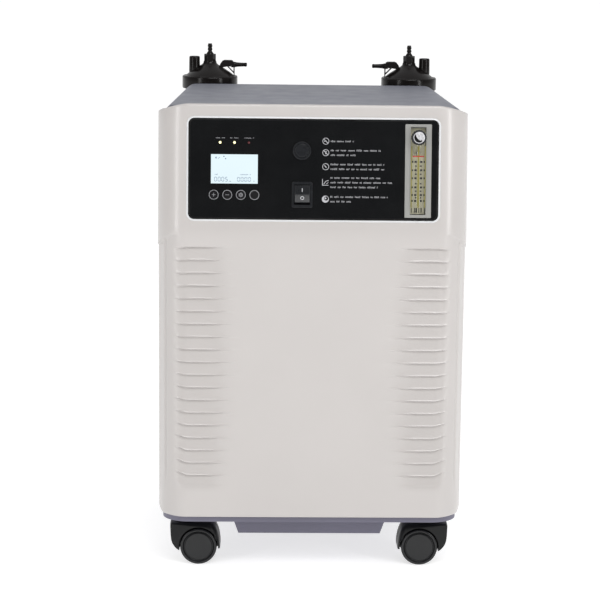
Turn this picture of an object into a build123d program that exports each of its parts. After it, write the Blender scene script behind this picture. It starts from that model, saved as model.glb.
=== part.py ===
from build123d import *
import math
import os

# Oxygen concentrator. Millimetres, +Z up, the front faces -Y, the floor is z = 0, and the origin is on
# the floor under the middle of the body. Each function makes one sub-part in its place.

# ---- Casters ----
WHEEL_RADIUS = 22.8
WHEEL_WIDTH = 17.0
CASTER_TRAIL = 20.0
CASTER_SIDE_INSET = 30.0
CASTER_END_INSET = 52.5
REAR_CASTER_INSET = 14.0
CASTER_HALF_WIDTH = 23.0
HOOD_GAP = 1.6
HOOD_WALL = 1.8
HOOD_TOP = 2 * WHEEL_RADIUS + 6.4
HOOD_BOTTOM = WHEEL_RADIUS - 2.8
HOOD_STEM_SIDE = 15.6
HOOD_NECK = 3.0
HOOD_WEB = 10.8
STEM_RADIUS = 4.0
AXLE_RADIUS = 3.0
RUNNING_GAP = 0.05

# ---- Body ----
BODY_WIDTH = 375.0
BODY_DEPTH = 365.0
FIT_GAP = 0.5
FRONT_Y = -BODY_DEPTH / 2
BACK_Y = BODY_DEPTH / 2
BASE_PLATE_BOTTOM = HOOD_TOP + 10.0
BASE_TOP = BASE_PLATE_BOTTOM + 6.5
COVER_BOTTOM = BASE_TOP + FIT_GAP
COVER_TOP = 574.5
COVER_WALL = 3.5
COVER_CORNER = 38.0
COVER_SIDE_DEPTH = 132.0
BEND_Z = 420.5
LEAN_RUN = 18.1
CROWN_DROP = 8.5
CROWN_WIDTH = 37.5

LEAN = math.atan2(LEAN_RUN, COVER_TOP - BEND_Z)
FACE = Plane(origin=(0, FRONT_Y, BEND_Z), x_dir=(1, 0, 0), z_dir=(0, -math.cos(LEAN), math.sin(LEAN)))

# ---- Louvres on the lower corners of the cover ----
LOUVRE_COUNT = 19
LOUVRE_PITCH = 15.4
LOUVRE_DEPTH = 2.3
LOUVRE_TOP = 404.0
LOUVRE_OUTER = BODY_WIDTH / 2 - COVER_CORNER + 2.0
LOUVRE_LENGTH = 58.0

# ---- Rear housing ----
HOUSING_WALL = 3.0
HOUSING_FRONT_GAP = 5.0
HOUSING_SIDE_GAP = 2.0
HOUSING_TAPER = 25.0
HOUSING_FRONT_HALF = BODY_WIDTH / 2 - COVER_WALL - HOUSING_SIDE_GAP
HOUSING_BACK_HALF = HOUSING_FRONT_HALF - HOUSING_TAPER
HOUSING_BACK_CORNER = 24.0
HOUSING_EDGE = 12.0
TOP_FRONT_Z = 571.5
TOP_CREST_Z = 577.3
TOP_BACK_Z = 565.0
BAY_DEPTH = 82.5
CREST_Y = BACK_Y - BAY_DEPTH

# ---- Humidifier bays at the rear corners ----
BOTTLE_RADIUS = 33.5
BOTTLE_WALL = 1.8
BOTTLE_NECK_RADIUS = BOTTLE_RADIUS - 3.0
BAY_FRONT_CLEARANCE = 8.5
BAY_SIDE_CLEARANCE = 9.1
BOTTLE_X = HOUSING_BACK_HALF - 24.4
BOTTLE_Y = CREST_Y + BOTTLE_RADIUS + BAY_FRONT_CLEARANCE
BAY_FLOOR_Z = 430.0
BOTTLE_BASE_Z = BAY_FLOOR_Z + 1.0
BOTTLE_TOP_Z = 580.0
BAY_INNER_X = BOTTLE_X - BOTTLE_RADIUS - BAY_SIDE_CLEARANCE
BAY_CORNER = 12.0

# ---- Base ----
BASE_INSET = 6.0
BASE_BACK_INSET = 4.0
BASE_LIP = 5.0
BASE_LIP_WALL = 4.0
TRAY_DROP = 22.0
TRAY_BOTTOM = BASE_PLATE_BOTTOM - TRAY_DROP
TRAY_TOP_HALF = 96.0
TRAY_BOTTOM_HALF = 88.0
TRAY_FRONT_Y = FRONT_Y + 32.5
TRAY_WALL = 3.0

FLANGE_TOP = HOOD_TOP + 6.2
STEM_FOOT = 31.0

# ---- Control panel, measured up the leaning face from the bend ----
PANEL_WIDTH = 299.0
PANEL_HEIGHT = 120.2
PANEL_V = 77.8
PANEL_THICK = 3.0
PANEL_PROUD = 0.4
PANEL_CORNER = 7.0
TRIM_WIDTH = 2.4
TRIM_PROUD = 0.9
LCD_WIDTH = 55.8
LCD_HEIGHT = 34.8
LCD_X = -94.7
LCD_V = 77.7
LED_RADIUS = 1.5
LED_V = 109.2
LED_X = (-111.9, -94.7, -77.5)
KEY_RADIUS = 6.2
KEY_GAP = 0.2
KEY_V = 46.8
KEY_FIRST_X = -119.2
KEY_PITCH = 16.2
KEY_NAMES = ("plus", "minus", "settings", "mute")
KEY_PROUD = 0.8
KEY_TRAVEL = 0.5
BREAKER_X = -14.2
BREAKER_V = 100.2
BREAKER_RADIUS = 11.0
BREAKER_CAP_RADIUS = 8.1
ROCKER_X = -13.5
ROCKER_V = 47.7
BEZEL_WIDTH = 24.9
BEZEL_HEIGHT = 31.0
BEZEL_PROUD = 2.4
ROCKER_WIDTH = 18.5
ROCKER_HALF = 10.4
ROCKER_TILT = 9.0
ROCKER_PIVOT_N = -1.5
ROCKER_VALLEY = 4.5
ROCKER_PIN_RADIUS = 1.4
ROCKER_PIN_REACH = 1.4

# ---- Flowmeter ----
METER_X = 125.1
METER_V = 77.1
METER_PLATE_WIDTH = 31.6
METER_PLATE_HEIGHT = 111.8
METER_PLATE_THICK = 1.2
METER_WIDTH = 18.1
METER_HEIGHT = 104.3
METER_PROUD = 3.5
METER_BACK = -20.0
METER_BORE = 3.0
FLOAT_RADIUS = 2.7
FLOAT_V = 98.9
FLOAT_LOW_V = 38.0
FLOAT_HIGH_V = 104.0
KNOB_V = 116.9
KNOB_RADIUS = 9.2
KNOB_LENGTH = 8.3
KNOB_STEM = 3.0

# ---- Rear fittings ----
DOOR_WIDTH = 130.0
DOOR_HEIGHT = 150.0
DOOR_Z = 330.0
DOOR_THICK = 3.0
SPONGE_THICK = 12.0
SCREW_X = 120.0
SCREW_ROWS = (BASE_TOP + 15.5, 225.0, 420.0)
INLET_X = 62.0
INLET_Z = 118.0
GRIP_HALF = 55.0
GRIP_BOTTOM = 500.0
GRIP_HEIGHT = 46.0
GRIP_DEPTH = 36.0

# ---- Inside ----
MOUNT_BOTTOM = BASE_PLATE_BOTTOM
MOUNT_TOP = MOUNT_BOTTOM + 18.0
MOTOR_RADIUS = 48.0
MOTOR_Z = MOUNT_TOP + MOTOR_RADIUS + 24.0
MOTOR_LENGTH = 124.0
MOTOR_Y = 0.0
SHELF_Z = MOTOR_Z + MOTOR_RADIUS + 50.0
SHELF_THICK = 2.0
SHELF_HALF = 151.0
SHAFT_RADIUS = 8.0
FAN_X = 100.0
FAN_Y = -75.0
FAN_SIZE = 92.0
FAN_DEPTH = 25.0
BED_RADIUS = 36.0
BED_HEIGHT = 250.0
HOSE_RADIUS = 4.0


def box(x0, x1, y0, y1, z0, z1):
    """A box between two corners."""
    middle = ((x0 + x1) / 2, (y0 + y1) / 2, (z0 + z1) / 2)
    return Pos(*middle) * Box(x1 - x0, y1 - y0, z1 - z0)


def post(x, y, z0, z1, radius):
    """An upright cylinder between two heights."""
    return Pos(x, y, (z0 + z1) / 2) * Cylinder(radius, z1 - z0)


def rod_x(x0, x1, y, z, radius):
    """A cylinder along X."""
    return Pos((x0 + x1) / 2, y, z) * Rot(0, 90, 0) * Cylinder(radius, x1 - x0)


def rod_y(x, y0, y1, z, radius):
    """A cylinder along Y."""
    return Pos(x, (y0 + y1) / 2, z) * Rot(90, 0, 0) * Cylinder(radius, y1 - y0)


def rounded_slab(width, height, corner, n0, n1):
    """A plate with rounded corners in the leaning face's own axes, from depth n0 to n1."""
    plate = extrude(RectangleRounded(width, height, corner), n1 - n0)
    return Pos(0, 0, n0) * plate


def on_face(x, v, shape):
    """Put a shape made about its own origin at x and v on the leaning face."""
    return FACE.location * Pos(x, v, 0) * shape


def disc(radius, n0, n1):
    """A cylinder along the face's normal."""
    return Pos(0, 0, (n0 + n1) / 2) * Cylinder(radius, n1 - n0)


def save(name, *shapes):
    """Write one node, which is one solid or a group of separate solids."""
    solids = [solid for shape in shapes for solid in shape.solids()]
    shape = solids[0] if len(solids) == 1 else Compound(solids)
    export_step(shape, f"parts/{name}.step")


# ---- Front cover ----


def cover_plan(inset, front_y, z):
    """The cover's outline from above: square at the back, rounded at the two front corners."""
    half = BODY_WIDTH / 2 - inset
    depth = FRONT_Y + COVER_SIDE_DEPTH - front_y - inset
    outline = Pos(0, front_y + inset + depth / 2) * Rectangle(2 * half, depth)
    front = outline.vertices().sort_by(Axis.Y)[:2]
    outline = fillet(front, COVER_CORNER - inset)
    return Pos(0, 0, z) * outline


def cover_block(inset, bottom, top):
    """The space inside the cover's outline moved in by inset, upright below the bend and leaning above."""
    lean_rate = LEAN_RUN / (COVER_TOP - BEND_Z)
    low = cover_plan(inset, FRONT_Y, bottom)
    bend = cover_plan(inset, FRONT_Y, BEND_Z)
    high = cover_plan(inset, FRONT_Y + lean_rate * (top - BEND_Z), top)
    return loft([low, bend], ruled=True) + loft([bend, high], ruled=True)


def crown_cutter():
    """What is above the cover's crowned top edge, which falls away over the corners."""
    half = BODY_WIDTH / 2
    shoulder = half - CROWN_WIDTH
    z = COVER_TOP
    right = EllipticalCenterArc((shoulder, z - CROWN_DROP), CROWN_WIDTH, CROWN_DROP, start_angle=0, arc_size=90)
    top = Line((shoulder, z), (-shoulder, z))
    left = EllipticalCenterArc((-shoulder, z - CROWN_DROP), CROWN_WIDTH, CROWN_DROP, start_angle=90,
                                arc_size=90)
    edge = [right, top, left]
    rest = Polyline((-half, z - CROWN_DROP), (-half - 9, z - CROWN_DROP), (-half - 9, z + 40),
                    (half + 9, z + 40), (half + 9, z - CROWN_DROP), (half, z - CROWN_DROP))
    face = make_face(edge + [rest])
    upright = Plane(origin=(0, BACK_Y, 0), x_dir=(1, 0, 0), z_dir=(0, -1, 0))
    return extrude(upright * face, BODY_DEPTH + 20)


def louvre_cutters():
    """Wedges that leave each louvre sloping outward to a crest, shallower towards the middle."""
    wedges = []
    tilt = math.degrees(math.atan2(LOUVRE_DEPTH, LOUVRE_LENGTH))
    for row in range(LOUVRE_COUNT):
        top = LOUVRE_TOP - row * LOUVRE_PITCH
        low = top - 0.92 * LOUVRE_PITCH
        side = Polyline((0, top), (LOUVRE_DEPTH, top - 0.4), (0, low), (-6, low), (-6, top), (0, top))
        for hand in (-1, 1):
            across = Plane(origin=(0, 0, 0), x_dir=(0, 1, 0), z_dir=(1, 0, 0))
            wedge = extrude(across * make_face(side), LOUVRE_LENGTH + 6)
            wedge = Rot(0, 0, -tilt) * wedge
            if hand > 0:
                wedge = mirror(wedge, Plane.YZ)
            wedges.append(Pos(hand * LOUVRE_OUTER, FRONT_Y, 0) * wedge)
    return wedges


def front_cover():
    outer = cover_block(0, COVER_BOTTOM, COVER_TOP)
    outer = fillet(bottom_edges(outer), 5.0)
    inner = cover_block(COVER_WALL, COVER_BOTTOM - 5, COVER_TOP + 5)
    seam = FRONT_Y + COVER_SIDE_DEPTH
    lip = box(-BODY_WIDTH, BODY_WIDTH, FRONT_Y, BACK_Y, COVER_TOP - CROWN_DROP - COVER_WALL, COVER_TOP + 20)
    lip += box(-BODY_WIDTH, BODY_WIDTH, seam - COVER_WALL, seam, COVER_BOTTOM + BASE_LIP + 1, COVER_TOP + 20)
    shell = outer - (inner - lip) - housing_plan(FIT_GAP, COVER_BOTTOM - 1, COVER_TOP + 20)
    shell -= crown_cutter()
    ring = rounded_slab(PANEL_WIDTH + 14, PANEL_HEIGHT + 14, 8, -6, -0.5)
    trim = rounded_slab(PANEL_WIDTH + 2 * TRIM_WIDTH, PANEL_HEIGHT + 2 * TRIM_WIDTH, 9.4, -1, TRIM_PROUD)
    shell += on_face(0, PANEL_V, ring + trim)
    pocket = rounded_slab(PANEL_WIDTH + 0.4, PANEL_HEIGHT + 0.4, PANEL_CORNER, PANEL_PROUD - PANEL_THICK, 5)
    opening = rounded_slab(PANEL_WIDTH - 10, PANEL_HEIGHT - 10, 5, -12, 5)
    shell -= on_face(0, PANEL_V, pocket)
    shell -= on_face(0, PANEL_V, opening)
    shell -= louvre_cutters()
    for hand in (-1, 1):
        for row in range(3):
            z = 101 + 9 * row
            shell -= box(hand * BODY_WIDTH / 2 - 8, hand * BODY_WIDTH / 2 + 8, -120, -72, z, z + 4)
    return shell


def bottom_edges(block):
    """The outer bottom edges of the cover, without the one at its open back."""
    low = block.edges().filter_by_position(Axis.Z, COVER_BOTTOM - 0.1, COVER_BOTTOM + 0.1)
    back = FRONT_Y + COVER_SIDE_DEPTH - 1
    return [edge for edge in low if edge.center().Y < back]


# ---- Rear housing ----


def housing_half(y):
    """Half the housing's width at y: its sides draw in towards the back."""
    share = (y - FRONT_Y) / BODY_DEPTH
    return HOUSING_FRONT_HALF + (HOUSING_BACK_HALF - HOUSING_FRONT_HALF) * share


def housing_front(z):
    """Where the housing starts behind the leaning face, at height z."""
    return FRONT_Y + LEAN_RUN * (z - BEND_Z) / (COVER_TOP - BEND_Z) + HOUSING_FRONT_GAP


def housing_plan(grow, z0, z1):
    """The housing's outline from above, moved out by grow."""
    front = housing_front(COVER_TOP) - grow
    front_half = housing_half(front) + grow
    back_half = housing_half(BACK_Y) + grow
    points = [(-front_half, front), (front_half, front), (back_half, BACK_Y), (-back_half, BACK_Y)]
    outline = make_face(Polyline(*points, close=True))
    corners = outline.vertices().sort_by(Axis.Y)[:2]
    outline = fillet(corners, COVER_CORNER - HOUSING_FRONT_GAP - 3)
    return extrude(Pos(0, 0, z0) * outline, z1 - z0)


def upright_section(y, half, top, bottom, edge):
    """A cross-section at y: a rectangle with its two top corners rounded."""
    outline = Pos(0, (top + bottom) / 2) * Rectangle(2 * half, top - bottom)
    corners = outline.vertices().sort_by(Axis.Y)[-2:]
    outline = fillet(corners, edge)
    return Plane(origin=(0, y, 0), x_dir=(1, 0, 0), z_dir=(0, -1, 0)) * outline


def housing_block(inset, bottom, front):
    """The housing's outer form moved in by inset: top rising to a crest, then falling to the back."""
    edge = HOUSING_EDGE - inset
    back = BACK_Y - inset
    stations = [(front, TOP_FRONT_Z), (CREST_Y + inset, TOP_CREST_Z), (back, TOP_BACK_Z)]
    sections = [upright_section(y, housing_half(y) - inset, z - inset, bottom, edge) for y, z in stations]
    block = loft(sections[:2], ruled=True) + loft(sections[1:], ruled=True)
    for hand in (-1, 1):
        block -= corner_rounder(hand, back, inset, HOUSING_BACK_CORNER - inset)
    return block


def corner_rounder(hand, back, inset, radius):
    """What an upright rounded corner takes off a square one, where the tapering side meets y = back."""
    taper = math.atan2(HOUSING_FRONT_HALF - HOUSING_BACK_HALF, BODY_DEPTH)
    y = back - radius
    x = housing_half(y) - inset - radius / math.cos(taper)
    start = y + radius * math.sin(taper)
    reach = radius + 12
    square = box(x, x + reach, start, start + reach, 0, COVER_TOP + 80)
    corner = square - post(x, y, -10, COVER_TOP + 90, radius)
    return corner if hand > 0 else mirror(corner, Plane.YZ)


def bay(hand, grow):
    """The corner bay that a humidifier stands in, with its walls moved out by grow."""
    inner = BAY_INNER_X - grow
    front = CREST_Y - grow
    plan = Pos((inner + 260) / 2, (front + 260) / 2) * Rectangle(260 - inner, 260 - front)
    plan = fillet(plan.vertices().sort_by(Axis.X)[:2].sort_by(Axis.Y)[:1], BAY_CORNER + grow)
    cut = extrude(Pos(0, 0, BAY_FLOOR_Z - grow) * plan, 300)
    rounder = corner_rounder(1, front, grow, HOUSING_BACK_CORNER - grow)
    cut += rounder & box(0, 260, 0, 260, BAY_FLOOR_Z - grow, BAY_FLOOR_Z + 300)
    return cut if hand > 0 else mirror(cut, Plane.YZ)


def grip_pocket(grow):
    """The hand hold in the back, moved out by grow."""
    front = BACK_Y - GRIP_DEPTH - grow
    pocket = box(-GRIP_HALF - grow, GRIP_HALF + grow, front, BACK_Y + 20,
                 GRIP_BOTTOM - grow, GRIP_BOTTOM + GRIP_HEIGHT + grow)
    return fillet(pocket.edges().filter_by(Axis.Y), 8 + grow)


def door_opening(grow):
    half = DOOR_WIDTH / 2 + grow
    low = DOOR_Z - DOOR_HEIGHT / 2 - grow
    high = DOOR_Z + DOOR_HEIGHT / 2 + grow
    return box(-half, half, BACK_Y - 30, BACK_Y + 10, low, high)


def rear_housing():
    front = housing_front(COVER_TOP)
    outer = housing_block(0, COVER_BOTTOM, front)
    inner = housing_block(HOUSING_WALL, COVER_BOTTOM - 5, front - 2)
    for hand in (-1, 1):
        outer -= bay(hand, 0)
        inner -= bay(hand, HOUSING_WALL)
    outer -= grip_pocket(0)
    inner -= grip_pocket(HOUSING_WALL)
    shell = outer - inner
    shell &= housing_plan(0, COVER_BOTTOM, TOP_CREST_Z + 20)
    shell -= door_opening(0.6)
    shell -= box(INLET_X - 14, INLET_X + 14, BACK_Y - 9, BACK_Y + 9, INLET_Z - 10.5, INLET_Z + 10.5)
    shell -= box(INLET_X - 25.2, INLET_X + 25.2, BACK_Y - 2, BACK_Y + 9, INLET_Z - 13.2, INLET_Z + 13.2)
    for column in range(9):
        x = -120 + 12 * column
        shell -= box(x, x + 5, BACK_Y - 9, BACK_Y + 9, 95, 150)
    for hand in (-1, 1):
        for z in SCREW_ROWS:
            shell -= rod_y(hand * SCREW_X, BACK_Y - 9, BACK_Y + 9, z, 2.2)
    return shell


# ---- Base ----


def base_outline(z0, z1):
    """The base's plate, set in under the cover in front and under the housing behind."""
    half = BODY_WIDTH / 2 - BASE_INSET
    front = FRONT_Y + BASE_INSET
    back = BACK_Y - BASE_BACK_INSET
    back_half = housing_half(BACK_Y) - BASE_BACK_INSET
    split = FRONT_Y + COVER_SIDE_DEPTH
    points = [(-half, front), (half, front), (half, split), (back_half, back), (-back_half, back), (-half, split)]
    outline = make_face(Polyline(*points, close=True))
    ordered = outline.vertices().sort_by(Axis.Y)
    outline = fillet(ordered[:2], COVER_CORNER - BASE_INSET)
    outline = fillet(outline.vertices().sort_by(Axis.Y)[-2:], HOUSING_BACK_CORNER - BASE_BACK_INSET)
    return extrude(Pos(0, 0, z0) * outline, z1 - z0)


def base_lip(inset, z0, z1):
    """The housing's outline moved in by inset, which the base's lip follows inside the walls."""
    front = FRONT_Y + COVER_CORNER
    front_half = housing_half(front) - inset
    back_half = housing_half(BACK_Y) - inset
    back = BACK_Y - inset
    points = [(-front_half, front), (front_half, front), (back_half, back), (-back_half, back)]
    outline = make_face(Polyline(*points, close=True))
    outline = fillet(outline.vertices().sort_by(Axis.Y)[-2:], HOUSING_BACK_CORNER)
    return extrude(Pos(0, 0, z0) * outline, z1 - z0)


def tray_block(inset, bottom, top):
    """The sump under the middle, narrower at its bottom."""
    spread = (TRAY_TOP_HALF - TRAY_BOTTOM_HALF) / (BASE_PLATE_BOTTOM - TRAY_BOTTOM)
    low_half = TRAY_BOTTOM_HALF - inset + spread * (bottom - TRAY_BOTTOM)
    high_half = TRAY_BOTTOM_HALF - inset + spread * (top - TRAY_BOTTOM)
    depth = 2 * (abs(TRAY_FRONT_Y) - inset)
    low = Pos(0, 0, bottom) * Rectangle(2 * low_half, depth)
    high = Pos(0, 0, top) * Rectangle(2 * high_half, depth)
    return loft([low, high], ruled=True)


def caster_places():
    """Each caster's name, stem place and the side its wheels trail to."""
    places = []
    for side, hand in (("left", -1), ("right", 1)):
        x = BODY_WIDTH / 2 - CASTER_SIDE_INSET
        y = BODY_DEPTH / 2 - CASTER_END_INSET
        places.append((f"front_{side}", hand * x, -y, -hand))
        places.append((f"rear_{side}", hand * (x - REAR_CASTER_INSET), y, -hand))
    return places


def base_tray():
    base = base_outline(BASE_PLATE_BOTTOM, BASE_TOP)
    base += base_lip(HOUSING_WALL + FIT_GAP, BASE_TOP - 1, BASE_TOP + BASE_LIP)
    base -= base_lip(HOUSING_WALL + FIT_GAP + BASE_LIP_WALL, BASE_TOP, BASE_TOP + BASE_LIP + 5)
    base += tray_block(0, TRAY_BOTTOM, BASE_PLATE_BOTTOM + 1)
    base -= tray_block(TRAY_WALL, TRAY_BOTTOM + TRAY_WALL, BASE_TOP + 1)
    for row in range(8):
        y = -84 + 24 * row
        base -= box(-60, 60, y - 3, y + 3, TRAY_BOTTOM - 5, TRAY_BOTTOM + 8)
    for name, x, y, trail in caster_places():
        base += post(x, y, FLANGE_TOP, BASE_TOP + 4, 12)
        base -= post(x, y, HOOD_TOP, BASE_TOP, STEM_RADIUS)
    for x in (-70, 70):
        for y in (-45, 45):
            base += box(x - 16, x + 16, y - 12, y + 12, TRAY_BOTTOM + 1, MOUNT_BOTTOM)
    return base


# ---- Casters ----


def hood_outline():
    """The hood seen along the axle, which is at the origin, with the stem's side to -X."""
    arch = WHEEL_RADIUS + HOOD_GAP + HOOD_WALL
    side = -CASTER_TRAIL - HOOD_STEM_SIDE
    low = HOOD_BOTTOM - WHEEL_RADIUS
    top = HOOD_TOP - WHEEL_RADIUS
    crown = ThreePointArc((arch, low), (0.92 * arch, 0.55 * top), (0.68 * arch, top))
    upper = Polyline((0.68 * arch, top), (side + 2, top), (side, top - 2), (side + 1.2, low + 10))
    heel = ThreePointArc((side + 1.2, low + 10), (side + 4, low + 4), (side + 10, low - 2))
    return make_face([crown, upper, heel, Line((side + 10, low - 2), (arch, low))])


def caster_hood(x, y, trail):
    """The hood over a pair of wheels, with its stem socket on one side."""
    wheel_x = x + trail * CASTER_TRAIL
    half = CASTER_HALF_WIDTH - 1
    upright = Plane(origin=(0, half, 0), x_dir=(1, 0, 0), z_dir=(0, -1, 0))
    hood = extrude(upright * hood_outline(), 2 * half)
    if trail < 0:
        hood = mirror(hood, Plane.YZ)
    hood = Pos(wheel_x, y, WHEEL_RADIUS) * hood
    for hand in (-1, 1):
        near, far = sorted((y + hand * HOOD_WEB / 2, y + hand * (half + 5)))
        hood -= rod_y(wheel_x, near, far, WHEEL_RADIUS, WHEEL_RADIUS + HOOD_GAP)
    hood += post(x, y, HOOD_TOP - 1, HOOD_TOP + HOOD_NECK, 11)
    hood -= post(x, y, STEM_FOOT - 1.5, HOOD_TOP + HOOD_NECK + 1, STEM_RADIUS + RUNNING_GAP)
    hood -= rod_y(wheel_x, y - 30, y + 30, WHEEL_RADIUS, AXLE_RADIUS)
    return hood


def caster_axle(x, y, trail):
    return rod_y(x + trail * CASTER_TRAIL, y - CASTER_HALF_WIDTH + 2, y + CASTER_HALF_WIDTH - 2,
                 WHEEL_RADIUS, AXLE_RADIUS)


def caster_wheels(x, y, trail):
    """The two wheels of a caster: a chamfered tread, a ring and a dished disc."""
    wheels = []
    for hand in (-1, 1):
        outer = y + hand * CASTER_HALF_WIDTH
        inner = outer - hand * WHEEL_WIDTH
        near, far = sorted((inner, outer))
        wheel = rod_y(x + trail * CASTER_TRAIL, near, far, WHEEL_RADIUS, WHEEL_RADIUS)
        wheel = chamfer(wheel.edges(), 1.4)
        near, far = sorted((outer - hand * 1.2, outer + hand * 2))
        dish = rod_y(x + trail * CASTER_TRAIL, near, far, WHEEL_RADIUS, WHEEL_RADIUS - 4)
        dish -= rod_y(x + trail * CASTER_TRAIL, near, far, WHEEL_RADIUS, 6.5)
        wheel -= dish
        near, far = sorted((inner - hand * 1, outer - hand * 1.6))
        wheel -= rod_y(x + trail * CASTER_TRAIL, near, far, WHEEL_RADIUS, AXLE_RADIUS + RUNNING_GAP)
        wheels.append(wheel)
    return wheels


def caster_stem(x, y):
    """A stem pressed up into the base, with the flange that the hood turns under."""
    return post(x, y, STEM_FOOT, BASE_TOP, STEM_RADIUS) + post(x, y, FLANGE_TOP - 2.9, FLANGE_TOP, 10)


# ---- Control panel ----


def key_x(index):
    return KEY_FIRST_X + KEY_PITCH * index


def control_panel():
    back = PANEL_PROUD - PANEL_THICK
    panel = on_face(0, PANEL_V, rounded_slab(PANEL_WIDTH, PANEL_HEIGHT, PANEL_CORNER - 0.2, back, PANEL_PROUD))
    panel -= on_face(LCD_X, LCD_V, Box(LCD_WIDTH + 0.2, LCD_HEIGHT + 0.2, 20))
    for x in LED_X:
        panel -= on_face(x, LED_V, disc(LED_RADIUS + 0.1, -9, 9))
    for index in range(len(KEY_NAMES)):
        panel -= on_face(key_x(index), KEY_V, disc(KEY_RADIUS + KEY_GAP, -9, 9))
    panel -= on_face(BREAKER_X, BREAKER_V, disc(BREAKER_RADIUS - 1.8, -9, 9))
    panel -= on_face(ROCKER_X, ROCKER_V, Box(BEZEL_WIDTH - 2.6, BEZEL_HEIGHT - 2.6, 20))
    panel -= on_face(METER_X, METER_V, Box(METER_WIDTH + 0.4, METER_HEIGHT + 0.4, 20))
    return panel


def lcd_screen():
    return on_face(LCD_X, LCD_V, Pos(0, 0, -2.3) * Box(LCD_WIDTH, LCD_HEIGHT, 5.0))


def status_leds():
    lamps = []
    for x in LED_X:
        lamp = disc(LED_RADIUS, -4, PANEL_PROUD) + Pos(0, 0, PANEL_PROUD) * (Sphere(LED_RADIUS) & disc(3, 0, 3))
        lamps.append(on_face(x, LED_V, lamp))
    return lamps


def key(index):
    button = disc(KEY_RADIUS, -4.5, KEY_PROUD)
    button = fillet(button.edges().sort_by(Axis.Z)[-1:], 0.3)
    return on_face(key_x(index), KEY_V, button)


def breaker_bezel():
    ring = disc(BREAKER_RADIUS, PANEL_PROUD, 3.0) + disc(BREAKER_RADIUS - 2, -22, PANEL_PROUD)
    ring = chamfer(ring.edges().filter_by_position(Axis.Z, 2.9, 3.1), 0.8)
    ring -= disc(BREAKER_CAP_RADIUS + 0.3, -8, 5)
    return on_face(BREAKER_X, BREAKER_V, ring)


def breaker_button():
    cap = disc(BREAKER_CAP_RADIUS, -3, 4.2)
    cap = fillet(cap.edges().sort_by(Axis.Z)[-1:], 1.0)
    return on_face(BREAKER_X, BREAKER_V, cap)


def rocker_bezel():
    frame = rounded_slab(BEZEL_WIDTH, BEZEL_HEIGHT, 2, PANEL_PROUD, BEZEL_PROUD)
    frame = chamfer(frame.faces().sort_by(Axis.Z)[-1].edges(), 0.7)
    frame += Pos(0, 0, -11.8) * Box(BEZEL_WIDTH - 3, BEZEL_HEIGHT - 3, 24.4)
    frame -= Box(ROCKER_WIDTH + 0.8, 2 * ROCKER_HALF + 3.4, 22)
    frame -= Pos(0, 0, ROCKER_PIVOT_N) * Rot(0, 90, 0) * Cylinder(ROCKER_PIN_RADIUS + RUNNING_GAP, BEZEL_WIDTH)
    for x in (-5, 0, 5):
        frame += Pos(x, -5, -27) * Box(1, 6, 8)
    return on_face(ROCKER_X, ROCKER_V, frame)


def rocker_switch():
    """The rocker, lying with its upper end pressed, on two pins in the bezel's sides."""
    rise = ROCKER_VALLEY + ROCKER_HALF * math.tan(math.radians(ROCKER_TILT))
    profile = Polyline((-ROCKER_HALF, -3), (-ROCKER_HALF, rise), (0, ROCKER_VALLEY), (ROCKER_HALF, rise),
                       (ROCKER_HALF, -3), close=True)
    across = Plane(origin=(-ROCKER_WIDTH / 2, 0, 0), x_dir=(0, 1, 0), z_dir=(1, 0, 0))
    body = extrude(across * make_face(profile), ROCKER_WIDTH)
    body += Rot(0, 90, 0) * Cylinder(ROCKER_PIN_RADIUS, ROCKER_WIDTH + 2 * ROCKER_PIN_REACH)
    body = Pos(0, 0, ROCKER_PIVOT_N) * Rot(-ROCKER_TILT, 0, 0) * body
    return on_face(ROCKER_X, ROCKER_V, body)


# ---- Flowmeter ----


def meter_v(v):
    """A height up the face, measured from the flowmeter's middle."""
    return v - METER_V


def flowmeter_plate():
    plate = rounded_slab(METER_PLATE_WIDTH, METER_PLATE_HEIGHT, 1, PANEL_PROUD, PANEL_PROUD + METER_PLATE_THICK)
    plate -= Box(METER_WIDTH + 0.4, METER_HEIGHT + 0.4, 20)
    return on_face(METER_X, METER_V, plate)


def flowmeter_block():
    """The clear block, with the float's bore, the valve's bore and two ports in its back."""
    middle = (METER_PROUD + METER_BACK) / 2
    block = Pos(0, 0, middle) * Box(METER_WIDTH, METER_HEIGHT, METER_PROUD - METER_BACK)
    block = chamfer(block.faces().sort_by(Axis.Z)[-1].edges(), 0.8)
    low = meter_v(FLOAT_LOW_V) - FLOAT_RADIUS - 1
    high = meter_v(FLOAT_HIGH_V) + FLOAT_RADIUS + 1
    block -= Pos(0, (low + high) / 2, -1) * Rot(90, 0, 0) * Cylinder(METER_BORE, high - low)
    block -= Pos(0, meter_v(KNOB_V), 0) * disc(KNOB_STEM + RUNNING_GAP, -12, 9)
    for v in (METER_HEIGHT / 2 - 12, 12 - METER_HEIGHT / 2):
        block -= Pos(0, v, 0) * disc(4.0, METER_BACK - 1, METER_BACK + 6)
    return on_face(METER_X, METER_V, block)


def flowmeter_float():
    return on_face(METER_X, FLOAT_V, Pos(0, 0, -1) * Sphere(FLOAT_RADIUS))


def flow_knob():
    knob = disc(KNOB_RADIUS, METER_PROUD + 1, METER_PROUD + 1 + KNOB_LENGTH)
    knob = chamfer(knob.edges().sort_by(Axis.Z)[-1:], 1.2)
    for turn in range(18):
        groove = Pos(KNOB_RADIUS + 0.5, 0, METER_PROUD + 5) * Cylinder(1.0, 7)
        knob -= Rot(0, 0, 20 * turn) * groove
    knob += disc(KNOB_STEM, -11, METER_PROUD + 2)
    return on_face(METER_X, KNOB_V, knob)


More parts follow.
